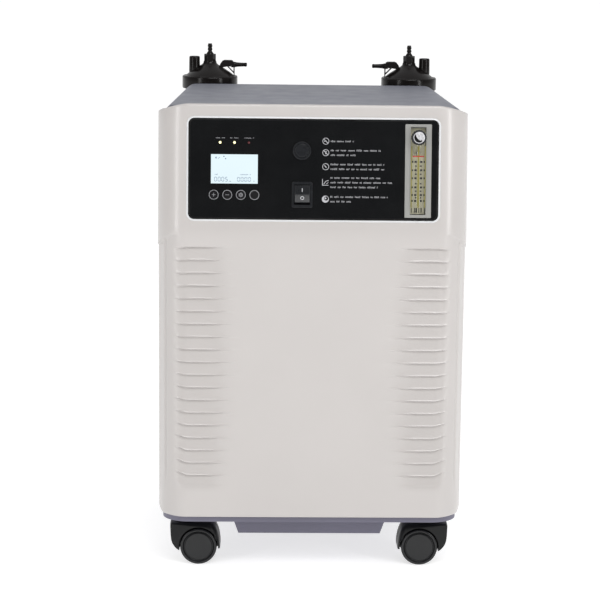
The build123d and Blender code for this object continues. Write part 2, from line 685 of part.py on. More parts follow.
def flowmeter_fittings():
    """Two barbed fittings screwed into the ports in the block's back."""
    fittings = []
    for v in (METER_HEIGHT / 2 - 12, 12 - METER_HEIGHT / 2):
        fitting = disc(4.0, METER_BACK, METER_BACK + 5) + disc(6.5, METER_BACK - 5, METER_BACK)
        fitting += disc(3.0, METER_BACK - 18, METER_BACK - 5)
        fittings.append(on_face(METER_X, METER_V, Pos(0, v, 0) * fitting))
    return fittings


# ---- Humidifiers ----

CAP_BOTTOM = 568.5
CAP_SHOULDER = 585.5
CAP_TOP = 604.5
CAP_RADIUS = BOTTLE_RADIUS + 3.2
NUT_TOP = 613.8
BARB_TOP = 627.5
NOZZLE_Z = 599.8
NOZZLE_TIP = 49.2
NOZZLE_RADIUS = 2.6
BARB_RADIUS = 2.7
DIP_RADIUS = 3.0


def about_bottle(hand, shape):
    """Put a humidifier piece, made about its own axis with its nozzle to +X, in its bay."""
    turn = 0 if hand < 0 else 180
    return Pos(hand * BOTTLE_X, BOTTLE_Y, 0) * Rot(0, 0, turn) * shape


def revolved(points):
    """A solid of revolution about Z from radius and height points."""
    profile = Polyline(*[(r, 0, z) for r, z in points], close=True)
    return revolve(make_face(profile), Axis.Z, 360)


def humidifier_bottle(hand):
    """A clear bottle, open at the top, with its shoulder drawn in to the neck."""
    shoulder = CAP_BOTTOM - 12
    outside = [(0, BOTTLE_BASE_Z), (BOTTLE_RADIUS - 3, BOTTLE_BASE_Z), (BOTTLE_RADIUS, BOTTLE_BASE_Z + 3),
               (BOTTLE_RADIUS, shoulder), (BOTTLE_NECK_RADIUS, shoulder + 6), (BOTTLE_NECK_RADIUS, BOTTLE_TOP_Z),
               (0, BOTTLE_TOP_Z)]
    wall = BOTTLE_WALL
    inside = [(0, BOTTLE_BASE_Z + wall), (BOTTLE_RADIUS - 3 - wall, BOTTLE_BASE_Z + wall),
              (BOTTLE_RADIUS - wall, BOTTLE_BASE_Z + 3 + wall), (BOTTLE_RADIUS - wall, shoulder),
              (BOTTLE_NECK_RADIUS - wall, shoulder + 6), (BOTTLE_NECK_RADIUS - wall, BOTTLE_TOP_Z + 1),
              (0, BOTTLE_TOP_Z + 1)]
    return about_bottle(hand, revolved(outside) - revolved(inside))


def humidifier_cap(hand):
    """The screw cap: plain skirt, coned top, port tube, bridge and outlet nozzle."""
    skirt = [(0, CAP_SHOULDER - 4), (BOTTLE_NECK_RADIUS + RUNNING_GAP, CAP_SHOULDER - 4),
             (BOTTLE_NECK_RADIUS + RUNNING_GAP, CAP_BOTTOM), (CAP_RADIUS, CAP_BOTTOM),
             (CAP_RADIUS, CAP_SHOULDER - 2), (CAP_RADIUS - 2, CAP_SHOULDER), (26, CAP_SHOULDER + 5),
             (15, CAP_SHOULDER + 12), (8.5, CAP_TOP), (0, CAP_TOP)]
    cap = revolved(skirt)
    cap += Pos(-20.5, 0, 0) * post(0, 0, CAP_SHOULDER, 610.5, 7.1)
    cap -= Pos(-20.5, 0, 0) * post(0, 0, 600, 620, 4.6)
    bridge = box(12, 32.5, -5, 5, NOZZLE_Z - 3, NOZZLE_Z + 6) + box(28, 32.5, -5, 5, CAP_SHOULDER - 2, NOZZLE_Z)
    bridge = fillet(bridge.edges().filter_by(Axis.Y).sort_by(Axis.Z)[-2:], 3)
    nozzle = rod_x(30, NOZZLE_TIP, 0, NOZZLE_Z, NOZZLE_RADIUS)
    nozzle += Pos(36, 0, NOZZLE_Z) * Rot(0, 90, 0) * Cone(4.2, NOZZLE_RADIUS, 8)
    cap += bridge + nozzle
    cap -= rod_x(20, NOZZLE_TIP + 3, 0, NOZZLE_Z, 1.4)
    cap -= post(20, 0, CAP_SHOULDER - 6, NOZZLE_Z, 1.4)
    cap -= post(0, 0, CAP_SHOULDER - 6, CAP_TOP + 2, DIP_RADIUS + RUNNING_GAP)
    return about_bottle(hand, cap)


def inlet_barb(hand):
    """The hexagonal nut and hose barb on the cap."""
    barb = Pos(0, 0, CAP_TOP) * extrude(RegularPolygon(7.7, 6), NUT_TOP - CAP_TOP)
    barb += post(0, 0, NUT_TOP, BARB_TOP, BARB_RADIUS)
    for z in (BARB_TOP - 3.4, BARB_TOP - 7.0):
        barb += Pos(0, 0, z) * Cone(3.4, BARB_RADIUS, 2.6)
    barb -= post(0, 0, CAP_TOP - 1, BARB_TOP + 1, 1.3)
    return about_bottle(hand, barb)


def dip_tube(hand):
    """The tube down into the water, with its porous diffuser."""
    tube = post(0, 0, BOTTLE_BASE_Z + 24, CAP_TOP - 0.5, DIP_RADIUS)
    tube -= post(0, 0, BOTTLE_BASE_Z + 30, CAP_TOP, 1.6)
    tube += post(0, 0, BOTTLE_BASE_Z + 8, BOTTLE_BASE_Z + 25, 6.0)
    return about_bottle(hand, tube)


def bottle_holders():
    """A ring round each bottle, carried by two arms on the bay's walls."""
    holders = []
    z0 = 488.0
    z1 = 506.0
    bore = BOTTLE_RADIUS + 1.0
    for hand in (-1, 1):
        ring = post(BOTTLE_X, BOTTLE_Y, z0, z1, bore + 3)
        ring += box(BOTTLE_X - 12, BOTTLE_X + 12, CREST_Y + 0.05, BOTTLE_Y - bore, z0, z1)
        ring += box(BAY_INNER_X + 0.05, BOTTLE_X - bore, BOTTLE_Y - 12, BOTTLE_Y + 12, z0, z1)
        ring -= post(BOTTLE_X, BOTTLE_Y, z0 - 1, z1 + 1, bore)
        holders.append(ring if hand > 0 else mirror(ring, Plane.YZ))
    return holders


# ---- Back ----


def filter_door():
    """The louvred door over the air intake."""
    half = DOOR_WIDTH / 2
    low = DOOR_Z - DOOR_HEIGHT / 2
    door = box(-half, half, BACK_Y - DOOR_THICK, BACK_Y, low, low + DOOR_HEIGHT)
    for row in range(11):
        z = low + 17 + 11.5 * row
        door -= box(-half + 14, half - 14, BACK_Y - DOOR_THICK - 1, BACK_Y + 1, z, z + 5)
    return door


def filter_sponge():
    half = DOOR_WIDTH / 2 - 6
    low = DOOR_Z - DOOR_HEIGHT / 2 + 6
    back = BACK_Y - DOOR_THICK
    return box(-half, half, back - SPONGE_THICK, back, low, low + DOOR_HEIGHT - 12)


def power_inlet():
    """A recessed mains inlet with three blades."""
    flange = box(INLET_X - 25, INLET_X + 25, BACK_Y - 2, BACK_Y, INLET_Z - 13, INLET_Z + 13)
    body = box(INLET_X - 13.8, INLET_X + 13.8, BACK_Y - 26, BACK_Y - 1, INLET_Z - 10.2, INLET_Z + 10.2)
    inlet = flange + body
    inlet -= box(INLET_X - 12, INLET_X + 12, BACK_Y - 18, BACK_Y + 3, INLET_Z - 8.3, INLET_Z + 8.3)
    for x, z in ((0, 3.5), (-7, -2.5), (7, -2.5)):
        inlet += box(INLET_X + x - 1, INLET_X + x + 1, BACK_Y - 19, BACK_Y - 4, INLET_Z + z - 2, INLET_Z + z + 2)
    return inlet


def cover_screws():
    """Pan-head screws through the back of the housing."""
    screws = []
    for hand in (-1, 1):
        for z in SCREW_ROWS:
            screw = rod_y(hand * SCREW_X, BACK_Y - 14, BACK_Y - 2.4, z, 2.0)
            head = rod_y(hand * SCREW_X, BACK_Y - 2.4, BACK_Y - 0.2, z, 2.1)
            screws.append(screw + head)
    return screws


# ---- Inside ----


def equipment_shelf():
    """A folded sheet shelf on two legs, holed for the fan and the hoses."""
    low = BASE_TOP
    shelf = box(-SHELF_HALF, SHELF_HALF, -140, 90, SHELF_Z - SHELF_THICK, SHELF_Z)
    for hand in (-1, 1):
        near, far = sorted((hand * SHELF_HALF, hand * (SHELF_HALF - SHELF_THICK)))
        shelf += box(near, far, -100, 90, low, SHELF_Z)
    shelf -= post(FAN_X, FAN_Y, SHELF_Z - 9, SHELF_Z + 9, FAN_SIZE / 2 - 2)
    for x in (-40, 40):
        shelf -= post(x, -70, SHELF_Z - 9, SHELF_Z + 9, 8)
    return shelf


def compressor_body():
    """The motor casing between two crankcases, with feet for the rubber mounts."""
    half = MOTOR_LENGTH / 2
    body = rod_x(-half, half, MOTOR_Y, MOTOR_Z, MOTOR_RADIUS)
    for hand in (-1, 1):
        near, far = sorted((hand * half, hand * (half + 44)))
        body += box(near, far, MOTOR_Y - 36, MOTOR_Y + 36, MOTOR_Z - 44, MOTOR_Z + 40)
        for y in (-45, 45):
            foot = box(70 * hand - 15, 70 * hand + 15, y - 13, y + 13, MOUNT_TOP, MOUNT_TOP + 5)
            leg = box(70 * hand - 6, 70 * hand + 6, sorted((0, y))[0], sorted((0, y))[1], MOUNT_TOP, MOTOR_Z - 30)
            body += foot + leg
    body -= rod_x(-half + 5, half - 5, MOTOR_Y, MOTOR_Z, MOTOR_RADIUS - 5)
    for hand in (-1, 1):
        near, far = sorted((hand * (half + 8), hand * (half + 38)))
        body -= box(near, far, MOTOR_Y - 30, MOTOR_Y + 30, MOTOR_Z - 38, MOTOR_Z + 34)
    body -= rod_x(-half - 20, half + 20, MOTOR_Y, MOTOR_Z, SHAFT_RADIUS + RUNNING_GAP)
    return body


def compressor_heads():
    """A finned cylinder head on each crankcase."""
    heads = []
    for hand in (-1, 1):
        x = hand * (MOTOR_LENGTH / 2 + 22)
        z = MOTOR_Z + 40
        head = post(x, MOTOR_Y, z, z + 24, 18)
        for fin in range(4):
            head += box(x - 21, x + 21, MOTOR_Y - 28, MOTOR_Y + 28, z + 1 + 6 * fin, z + 4 + 6 * fin)
        head += post(x, MOTOR_Y - 20, z + 20, z + 34, 4)
        heads.append(head)
    return heads


def crankshaft():
    """The shaft through the motor, with its rotor and an eccentric weight in each crankcase."""
    half = MOTOR_LENGTH / 2
    shaft = rod_x(-half - 34, half + 34, MOTOR_Y, MOTOR_Z, SHAFT_RADIUS)
    shaft += rod_x(-half + 12, half - 12, MOTOR_Y, MOTOR_Z, MOTOR_RADIUS - 9)
    for hand in (-1, 1):
        near, far = sorted((hand * (half + 12), hand * (half + 24)))
        shaft += rod_x(near, far, MOTOR_Y, MOTOR_Z - 8, 18)
    return shaft


def isolator_mounts():
    """Waisted rubber mounts under the compressor."""
    mounts = []
    for x in (-70, 70):
        for y in (-45, 45):
            waist = revolved([(0, MOUNT_BOTTOM), (10, MOUNT_BOTTOM), (7, (MOUNT_BOTTOM + MOUNT_TOP) / 2),
                              (10, MOUNT_TOP), (0, MOUNT_TOP)])
            mounts.append(Pos(x, y, 0) * waist)
    return mounts


def canister(x, y, radius, height):
    """A pressure vessel standing on the shelf, with flanged ends and a port on top."""
    top = SHELF_Z + height
    vessel = post(x, y, SHELF_Z, top, radius - 2)
    vessel += post(x, y, SHELF_Z, SHELF_Z + 10, radius) + post(x, y, top - 10, top, radius)
    vessel += post(x, y, top, top + 12, 5)
    return vessel


def sieve_beds():
    return [canister(x, 40, BED_RADIUS, BED_HEIGHT) for x in (-110, -30)]


def product_tank():
    return canister(50, 40, BED_RADIUS, BED_HEIGHT - 20)


def valve_manifold():
    """The block that switches air between the beds, with its ports."""
    block = box(-150, -10, -45, -11, SHELF_Z, SHELF_Z + 28)
    for x in (-125, -80, -35):
        block -= post(x, -38, SHELF_Z + 16, SHELF_Z + 40, 3)
    return block


def solenoid_valves():
    coils = []
    for x in (-130, -98, -66, -34):
        coil = post(x, -24, SHELF_Z + 28, SHELF_Z + 62, 10) + box(x - 11, x + 11, -35, -13, SHELF_Z + 34, SHELF_Z + 54)
        coils.append(coil)
    return coils


def tube(points, radii, radius):
    """A round tube along straight runs joined by tangent arcs."""
    path = FilletPolyline(*points, radius=radii)
    start = path @ 0
    ring = Plane(origin=start, z_dir=path % 0) * Circle(radius)
    return sweep(ring, path=path)


def cooling_coil():
    """A serpentine of copper tube in front of the compressor."""
    points = []
    for row in range(5):
        z = 100 + 25 * row
        ends = (-75, 75) if row % 2 == 0 else (75, -75)
        points.append((ends[0], -118, z))
        points.append((ends[1], -118, z))
    return tube(points, 12.0, 5.0)


def fan_frame():
    """The cooling fan's square frame, hung under the shelf, with its hub on three spokes."""
    top = SHELF_Z - SHELF_THICK
    frame = box(FAN_X - FAN_SIZE / 2, FAN_X + FAN_SIZE / 2, FAN_Y - FAN_SIZE / 2, FAN_Y + FAN_SIZE / 2,
                top - FAN_DEPTH, top)
    frame -= post(FAN_X, FAN_Y, top - FAN_DEPTH - 1, top + 1, FAN_SIZE / 2 - 3)
    for turn in range(3):
        spoke = box(0, FAN_SIZE / 2 - 1, -2, 2, top - FAN_DEPTH, top - FAN_DEPTH + 4)
        frame += Pos(FAN_X, FAN_Y, 0) * Rot(0, 0, 30 + 120 * turn) * spoke
    frame += post(FAN_X, FAN_Y, top - FAN_DEPTH, top - FAN_DEPTH + 4, 15)
    frame += post(FAN_X, FAN_Y, top - FAN_DEPTH, top - FAN_DEPTH + 16, 3)
    return frame


def fan_rotor():
    """Seven pitched blades on a hub."""
    top = SHELF_Z - SHELF_THICK
    low = top - FAN_DEPTH + 5
    rotor = post(FAN_X, FAN_Y, low, top - 1, 14)
    for turn in range(7):
        blade = Pos(26, 0, (low + top) / 2 - 0.5) * Rot(35, 0, 0) * Box(28, 2, 19)
        rotor += Pos(FAN_X, FAN_Y, 0) * Rot(0, 0, 360 / 7 * turn) * blade
    rotor -= post(FAN_X, FAN_Y, low - 1, top - 7, 3 + RUNNING_GAP)
    return rotor


def intake_filter():
    """The fine filter cartridge that the compressor breathes through."""
    return post(120, 30, SHELF_Z, SHELF_Z + 80, 26) + post(120, 30, SHELF_Z + 80, SHELF_Z + 96, 7)


def circuit_board():
    """The control board on the back of the panel zone, with its larger components."""
    board = box(-140, -30, -128, -126.4, 440, 540)
    for x, z, width, height, deep in ((-120, 520, 22, 14, 14), (-80, 500, 30, 30, 6), (-50, 525, 14, 18, 20),
                                      (-115, 465, 26, 20, 18), (-60, 460, 34, 12, 10)):
        board += box(x - width / 2, x + width / 2, -127, -126.4 + deep, z - height / 2, z + height / 2)
    return board


def hose_routes():
    """Each hose's points and bend radius."""
    tank_top = SHELF_Z + BED_HEIGHT + 12
    port = (METER_X, METER_V + 12 - METER_HEIGHT / 2)
    lower = FACE.from_local_coords((*port, METER_BACK - 18))
    behind = FACE.from_local_coords((*port, METER_BACK - 42))
    return [
        ([(-110, 40, tank_top), (-110, 40, tank_top + 28), (-30, 40, tank_top + 28), (-30, 40, tank_top)], 14.0),
        ([(50, 40, tank_top - 20), (50, 40, tank_top + 6), (50, behind.Y + 36, tank_top + 6),
          (METER_X, behind.Y + 36, behind.Z + 24), tuple(behind), tuple(lower)], 10.0),
        ([(120, 30, SHELF_Z + 96), (120, 30, SHELF_Z + 130), (120, -20, SHELF_Z + 130), (120, -20, SHELF_Z + 1)], 14.0),
    ]


def internal_hoses():
    hoses = []
    for points, radius in hose_routes():
        hoses.append(tube(points, radius, HOSE_RADIUS))
    return hoses


# ---- Write every node ----


def main():
    os.makedirs("parts", exist_ok=True)
    save("front_cover", front_cover())
    save("rear_housing", rear_housing())
    save("base_tray", base_tray())
    save("control_panel", control_panel())
    save("lcd_screen", lcd_screen())
    save("status_leds", *status_leds())
    for index, name in enumerate(KEY_NAMES):
        save(f"key_{name}", key(index))
    save("breaker_bezel", breaker_bezel())
    save("breaker_button", breaker_button())
    save("rocker_bezel", rocker_bezel())
    save("rocker_switch", rocker_switch())
    save("flowmeter_plate", flowmeter_plate())
    save("flowmeter_block", flowmeter_block())
    save("flowmeter_float", flowmeter_float())
    save("flowmeter_fittings", *flowmeter_fittings())
    save("flow_knob", flow_knob())
    for side, hand in (("left", -1), ("right", 1)):
        save(f"humidifier_bottle_{side}", humidifier_bottle(hand))
        save(f"humidifier_cap_{side}", humidifier_cap(hand))
        save(f"inlet_barb_{side}", inlet_barb(hand))
        save(f"dip_tube_{side}", dip_tube(hand))
    save("bottle_holders", *bottle_holders())
    for name, x, y, trail in caster_places():
        save(f"caster_hood_{name}", caster_hood(x, y, trail))
        save(f"caster_axle_{name}", caster_axle(x, y, trail))
        save(f"caster_wheels_{name}", *caster_wheels(x, y, trail))
    save("caster_stems", *[caster_stem(x, y) for name, x, y, trail in caster_places()])
    save("filter_door", filter_door())
    save("filter_sponge", filter_sponge())
    save("power_inlet", power_inlet())
    save("cover_screws", *cover_screws())
    save("equipment_shelf", equipment_shelf())
    save("compressor_body", compressor_body())
    save("compressor_heads", *compressor_heads())
    save("crankshaft", crankshaft())
    save("isolator_mounts", *isolator_mounts())
    save("sieve_beds", *sieve_beds())
    save("product_tank", product_tank())
    save("valve_manifold", valve_manifold())
    save("solenoid_valves", *solenoid_valves())
    save("cooling_coil", cooling_coil())
    save("fan_frame", fan_frame())
    save("fan_rotor", fan_rotor())
    save("intake_filter", intake_filter())
    save("circuit_board", circuit_board())
    save("internal_hoses", *internal_hoses())


main()
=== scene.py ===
import math
import random

import bpy
from mathutils import Matrix, Vector
from mathutils.geometry import tessellate_polygon


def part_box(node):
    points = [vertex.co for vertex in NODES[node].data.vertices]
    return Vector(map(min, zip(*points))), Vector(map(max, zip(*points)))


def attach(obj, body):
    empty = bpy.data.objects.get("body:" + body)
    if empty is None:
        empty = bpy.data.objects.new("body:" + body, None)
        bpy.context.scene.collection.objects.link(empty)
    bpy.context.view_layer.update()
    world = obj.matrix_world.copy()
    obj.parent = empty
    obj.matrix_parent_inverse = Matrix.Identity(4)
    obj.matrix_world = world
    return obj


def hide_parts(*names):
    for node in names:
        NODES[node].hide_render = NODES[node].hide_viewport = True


# An oxygen concentrator on four casters. Shapes are worked out in millimetres in the CAD frame (+Z up,
# the front faces -Y, the floor is z = 0) and turned into metres when a mesh is made.

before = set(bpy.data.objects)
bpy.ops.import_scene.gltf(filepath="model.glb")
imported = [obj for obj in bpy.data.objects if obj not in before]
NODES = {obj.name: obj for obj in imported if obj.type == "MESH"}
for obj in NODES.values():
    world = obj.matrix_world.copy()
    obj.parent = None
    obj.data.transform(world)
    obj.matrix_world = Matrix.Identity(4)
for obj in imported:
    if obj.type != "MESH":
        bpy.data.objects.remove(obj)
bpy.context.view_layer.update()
MM = 0.001


def cad(node):
    """The lowest and highest corner of a CAD node, in millimetres."""
    low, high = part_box(node)
    return low / MM, high / MM


# ---- Sizes taken from the frame ----

COVER_LOW, COVER_HIGH = cad("front_cover")
HALF = COVER_HIGH.x
FRONT = cad("base_tray")[0].y - 6.0
SEAM = COVER_HIGH.y
BOTTOM = COVER_LOW.z
TOP = COVER_HIGH.z

# ---- Sizes of the cover's form ----

CORNER = 38.0
WALL = 3.5
BEND = 420.5
LEAN_RUN = 18.1
LEAN = math.atan2(LEAN_RUN, TOP - BEND)
CORNER_DROP = 11.2
SIDE_DROP = 4.9
TOP_ROUND = 2.2
LIP = 5.2

RIB_COUNT = 19
RIB_TOP = 404.7
RIB_PITCH = 15.66
RIB_DEPTH = 3.3
RIB_END = 108.2

PANEL_V = 77.8
PANEL_SIZE = (299.0, 120.2)
PANEL_CORNER = 7.0
PANEL_FACE = 0.4

OUTWARD = Vector((0, -math.cos(LEAN), math.sin(LEAN)))
UPWARD = Vector((0, math.sin(LEAN), math.cos(LEAN)))
FACE = Matrix(((1, 0, 0, 0), (0, UPWARD.y, OUTWARD.y, FRONT), (0, UPWARD.z, OUTWARD.z, BEND), (0, 0, 0, 1)))


def smooth(low, high, value):
    """0 below low, 1 above high, and a smooth rise between."""
    share = min(1.0, max(0.0, (value - low) / (high - low)))
    return share * share * (3 - 2 * share)


# ---- Materials ----


def material(name, colour, roughness, metallic=0.0):
    """A material with its Principled shader and constants set, and its node tree's parts."""
    made = bpy.data.materials.new(name)
    made.use_nodes = True
    shader = made.node_tree.nodes["Principled BSDF"]
    shader.inputs["Base Color"].default_value = (*colour, 1)
    shader.inputs["Roughness"].default_value = roughness
    shader.inputs["Metallic"].default_value = metallic
    return made, made.node_tree, shader


def add_noise(tree, scale, detail=3.0, stretch=(1, 1, 1)):
    """Noise over the object's own coordinates, in metres."""
    place = tree.nodes.new("ShaderNodeTexCoord")
    mapping = tree.nodes.new("ShaderNodeMapping")
    mapping.inputs["Scale"].default_value = stretch
    noise = tree.nodes.new("ShaderNodeTexNoise")
    noise.inputs["Scale"].default_value = scale
    noise.inputs["Detail"].default_value = detail
    tree.links.new(place.outputs["Object"], mapping.inputs["Vector"])
    tree.links.new(mapping.outputs["Vector"], noise.inputs["Vector"])
    return noise


def add_ramp(tree, source, stops):
    """A colour ramp from (position, value or colour) stops."""
    ramp = tree.nodes.new("ShaderNodeValToRGB")
    while len(ramp.color_ramp.elements) < len(stops):
        ramp.color_ramp.elements.new(0.5)
    for element, (position, value) in zip(ramp.color_ramp.elements, stops):
        element.position = position
        element.color = (value, value, value, 1) if isinstance(value, float) else (*value, 1)
    tree.links.new(source, ramp.inputs["Fac"])
    return ramp


def add_bump(tree, shader, source, distance, strength=0.5):
    bump = tree.nodes.new("ShaderNodeBump")
    bump.inputs["Strength"].default_value = strength
    bump.inputs["Distance"].default_value = distance
    tree.links.new(source, bump.inputs["Height"])
    tree.links.new(bump.outputs["Normal"], shader.inputs["Normal"])
    return bump


def plastic(name, colour, roughness, grain=900.0, depth=0.00006, vary=0.04, spread=0.06, coat=0.0, shine=0.5):
    """Moulded plastic: fine grain, slow drift in colour, and uneven polish."""
    made, tree, shader = material(name, colour, roughness)
    drift = add_noise(tree, 9.0, 2.0)
    dark = tuple(c * (1 - vary) for c in colour)
    light = tuple(min(1.0, c * (1 + vary)) for c in colour)
    tint = add_ramp(tree, drift.outputs["Fac"], [(0.35, dark), (0.65, light)])
    tree.links.new(tint.outputs["Color"], shader.inputs["Base Color"])
    smears = add_noise(tree, 38.0, 4.0)
    polish = add_ramp(tree, smears.outputs["Fac"], [(0.3, roughness - spread), (0.7, roughness + spread)])
    tree.links.new(polish.outputs["Color"], shader.inputs["Roughness"])
    fine = add_noise(tree, grain, 2.0)
    add_bump(tree, shader, fine.outputs["Fac"], depth)
    shader.inputs["Coat Weight"].default_value = coat
    shader.inputs["Coat Roughness"].default_value = 0.22
    shader.inputs["Specular IOR Level"].default_value = shine
    return made


def metal(name, colour, roughness, stretch=(1, 1, 1), grain=700.0, depth=0.00003, metallic=1.0):
    """Metal with directional brushing and uneven polish."""
    made, tree, shader = material(name, colour, roughness, metallic)
    brushed = add_noise(tree, grain, 3.0, stretch)
    polish = add_ramp(tree, brushed.outputs["Fac"], [(0.3, roughness - 0.08), (0.7, roughness + 0.1)])
    tree.links.new(polish.outputs["Color"], shader.inputs["Roughness"])
    add_bump(tree, shader, brushed.outputs["Fac"], depth)
    return made


def clear(name, colour, roughness, ior, cover, marks=0.05):
    """Clear moulded plastic with faint flow marks, which lets some light straight through."""
    made, tree, shader = material(name, colour, roughness)
    shader.inputs["Alpha"].default_value = cover
    shader.inputs["Transmission Weight"].default_value = 1.0
    shader.inputs["IOR"].default_value = ior
    flow = add_noise(tree, 60.0, 2.0)
    polish = add_ramp(tree, flow.outputs["Fac"], [(0.4, roughness), (0.8, roughness + marks)])
    tree.links.new(polish.outputs["Color"], shader.inputs["Roughness"])
    add_bump(tree, shader, flow.outputs["Fac"], 0.0001, 0.2)
    return made


def glow(name, colour, strength, vary=0.03):
    """A lit surface with a slightly uneven backlight."""
    made, tree, shader = material(name, colour, 0.25)
    uneven = add_noise(tree, 30.0, 1.0)
    dark = tuple(c * (1 - vary) for c in colour)
    lit = add_ramp(tree, uneven.outputs["Fac"], [(0.3, dark), (0.7, colour)])
    tree.links.new(lit.outputs["Color"], shader.inputs["Emission Color"])
    shader.inputs["Base Color"].default_value = (0.03, 0.035, 0.04, 1)
    shader.inputs["Emission Strength"].default_value = strength
    return made


def make_lamp_material():
    """The three indicator lamps: two lit, and the alarm dark red."""
    made, tree, shader = material("lamp_lens", (0.9, 0.85, 0.5), 0.2)
    place = tree.nodes.new("ShaderNodeTexCoord")
    split = tree.nodes.new("ShaderNodeSeparateXYZ")
    tree.links.new(place.outputs["Object"], split.inputs["Vector"])
    across = tree.nodes.new("ShaderNodeMapRange")
    low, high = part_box("status_leds")
    across.inputs["From Min"].default_value = low.x
    across.inputs["From Max"].default_value = high.x
    tree.links.new(split.outputs["X"], across.inputs["Value"])
    lit, unlit = (1.0, 0.93, 0.50), (0.045, 0.006, 0.007)
    tint = add_ramp(tree, across.outputs["Result"], [(0.70, lit), (0.74, unlit)])
    tree.links.new(tint.outputs["Color"], shader.inputs["Base Color"])
    tree.links.new(tint.outputs["Color"], shader.inputs["Emission Color"])
    shader.inputs["Emission Strength"].default_value = 1.1
    return made


def make_foam_material():
    """Open-cell foam for the intake sponge."""
    made, tree, shader = material("open_foam", (0.05, 0.05, 0.055), 0.95)
    cells = tree.nodes.new("ShaderNodeTexVoronoi")
    cells.inputs["Scale"].default_value = 450.0
    place = tree.nodes.new("ShaderNodeTexCoord")
    tree.links.new(place.outputs["Object"], cells.inputs["Vector"])
    tint = add_ramp(tree, cells.outputs["Distance"], [(0.1, 0.008), (0.6, 0.07)])
    tree.links.new(tint.outputs["Color"], shader.inputs["Base Color"])
    add_bump(tree, shader, cells.outputs["Distance"], 0.001, 0.8)
    return made


WHITE = plastic("cover_plastic", (0.522, 0.495, 0.480), 0.34, 700.0, 0.00004, 0.012, 0.04, 0.6)
# The trim bead is the cover's white plastic made lighter in colour: a painted highlight along the bead.
TRIM_PAINTED_HIGHLIGHT = plastic("trim_plastic_painted_highlight", (0.66, 0.67, 0.68), 0.25, 700.0, 0.00002, 0.01, 0.04, 0.4)
GREY = plastic("housing_plastic", (0.175, 0.182, 0.220), 0.45, 1100.0, 0.00008, 0.02)
BASE_GREY = plastic("base_plastic", (0.150, 0.145, 0.195), 0.45, 1100.0, 0.00010, 0.04)
PANEL = plastic("panel_film", (0.0030, 0.0034, 0.0040), 0.20, 1500.0, 0.000001, 0.10, 0.03, 0.0, 0.35)
BORDER = plastic("panel_border", (0.0010, 0.0010, 0.0012), 0.30, 1500.0, 0.00001)
KEY_BLACK = plastic("key_plastic", (0.006, 0.006, 0.007), 0.26, 1400.0, 0.00001, shine=0.35)
TRIM_BLACK = plastic("switch_plastic", (0.011, 0.012, 0.014), 0.30, 1400.0, 0.00001, shine=0.28)
CAP_BLACK = plastic("cap_plastic", (0.0055, 0.0042, 0.0040), 0.20, 500.0, 0.00004, 0.08, 0.05, 0.0, 0.20)
CASTER_BLACK = plastic("caster_plastic", (0.0075, 0.0080, 0.0082), 0.34, 900.0, 0.00004, 0.08, shine=0.26)
WHEEL_BLACK = plastic("wheel_plastic", (0.0080, 0.0084, 0.0092), 0.22, 900.0, 0.00003, 0.10, shine=0.42)
PRINT_WHITE = plastic("print_white", (0.44, 0.44, 0.46), 0.45, 1500.0, 0.00001)
PRINT_DIM = plastic("print_dim", (0.27, 0.27, 0.285), 0.45, 1500.0, 0.00001)
PRINT_BLACK = plastic("print_black", (0.003, 0.003, 0.003), 0.5, 1500.0, 0.00001)
PRINT_RED = plastic("print_red", (0.40, 0.018, 0.012), 0.4, 1500.0, 0.00001)
PRINT_OLIVE = plastic("print_olive", (0.215, 0.195, 0.045), 0.4, 1500.0, 0.00001)
PRINT_SILVER = plastic("print_silver", (0.58, 0.555, 0.41), 0.4, 1500.0, 0.00001)
PRINT_LCD = plastic("lcd_segment", (0.075, 0.13, 0.26), 0.3, 1500.0, 0.00001)
PLATE = metal("brushed_plate", (0.42, 0.42, 0.40), 0.36, (6, 1, 1), 700.0, 0.00002, 0.55)
KNOB_METAL = metal("knob_face", (0.62, 0.62, 0.64), 0.25, (1, 1, 1), 400.0, 0.000001, 0.25)
STEEL = metal("zinc_steel", (0.55, 0.55, 0.56), 0.30)
ALLOY = metal("cast_alloy", (0.50, 0.51, 0.52), 0.48, (1, 1, 1), 300.0, 0.0002)
SHEET = metal("galvanised_sheet", (0.52, 0.53, 0.54), 0.40, (1, 1, 1), 60.0, 0.00002)
BRASS = metal("brass", (0.60, 0.42, 0.16), 0.28)
COPPER = metal("copper", (0.62, 0.28, 0.16), 0.30)
ACRYLIC = clear("meter_acrylic", (0.93, 0.94, 0.86), 0.03, 1.49, 0.12)
BOTTLE = clear("bottle_plastic", (0.93, 0.95, 0.96), 0.05, 1.45, 0.5)
DIP = clear("dip_plastic", (0.90, 0.92, 0.93), 0.10, 1.45, 0.7)
RUBBER = plastic("rubber", (0.020, 0.019, 0.018), 0.70, 400.0, 0.0002)
HOSE = plastic("silicone_hose", (0.55, 0.52, 0.44), 0.42, 300.0, 0.00005)
FILTER = plastic("filter_shell", (0.62, 0.62, 0.60), 0.45)
BOARD = plastic("circuit_board", (0.012, 0.085, 0.035), 0.35, 250.0, 0.00015, 0.25)
DISPLAY = glow("backlight", (0.80, 0.94, 0.985), 0.97)
LAMP = make_lamp_material()
FOAM = make_foam_material()

# ---- Meshes ----


def make_piece(name, vertices, faces, finish, body, slot, sharp=35.0, bevel=0.0, where=None):
    """A shown piece that rides on a body, from vertices in millimetres."""
    place = where or Matrix()
    points = [place @ Vector(v) * MM for v in vertices]
    mesh = bpy.data.meshes.new(name)
    mesh.from_pydata(points, [], faces)
    mesh.validate()
    mesh.materials.append(finish)
    piece = bpy.data.objects.new(name, mesh)
    bpy.context.scene.collection.objects.link(piece)
    if bevel:
        rounding = piece.modifiers.new("rounded_edges", "BEVEL")
        rounding.width = bevel * MM
        rounding.segments = 3
        rounding.limit_method = "ANGLE"
        rounding.angle_limit = math.radians(30)
    mesh.shade_smooth()
    mesh.set_sharp_from_angle(angle=math.radians(sharp))
    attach(piece, body)
    return piece


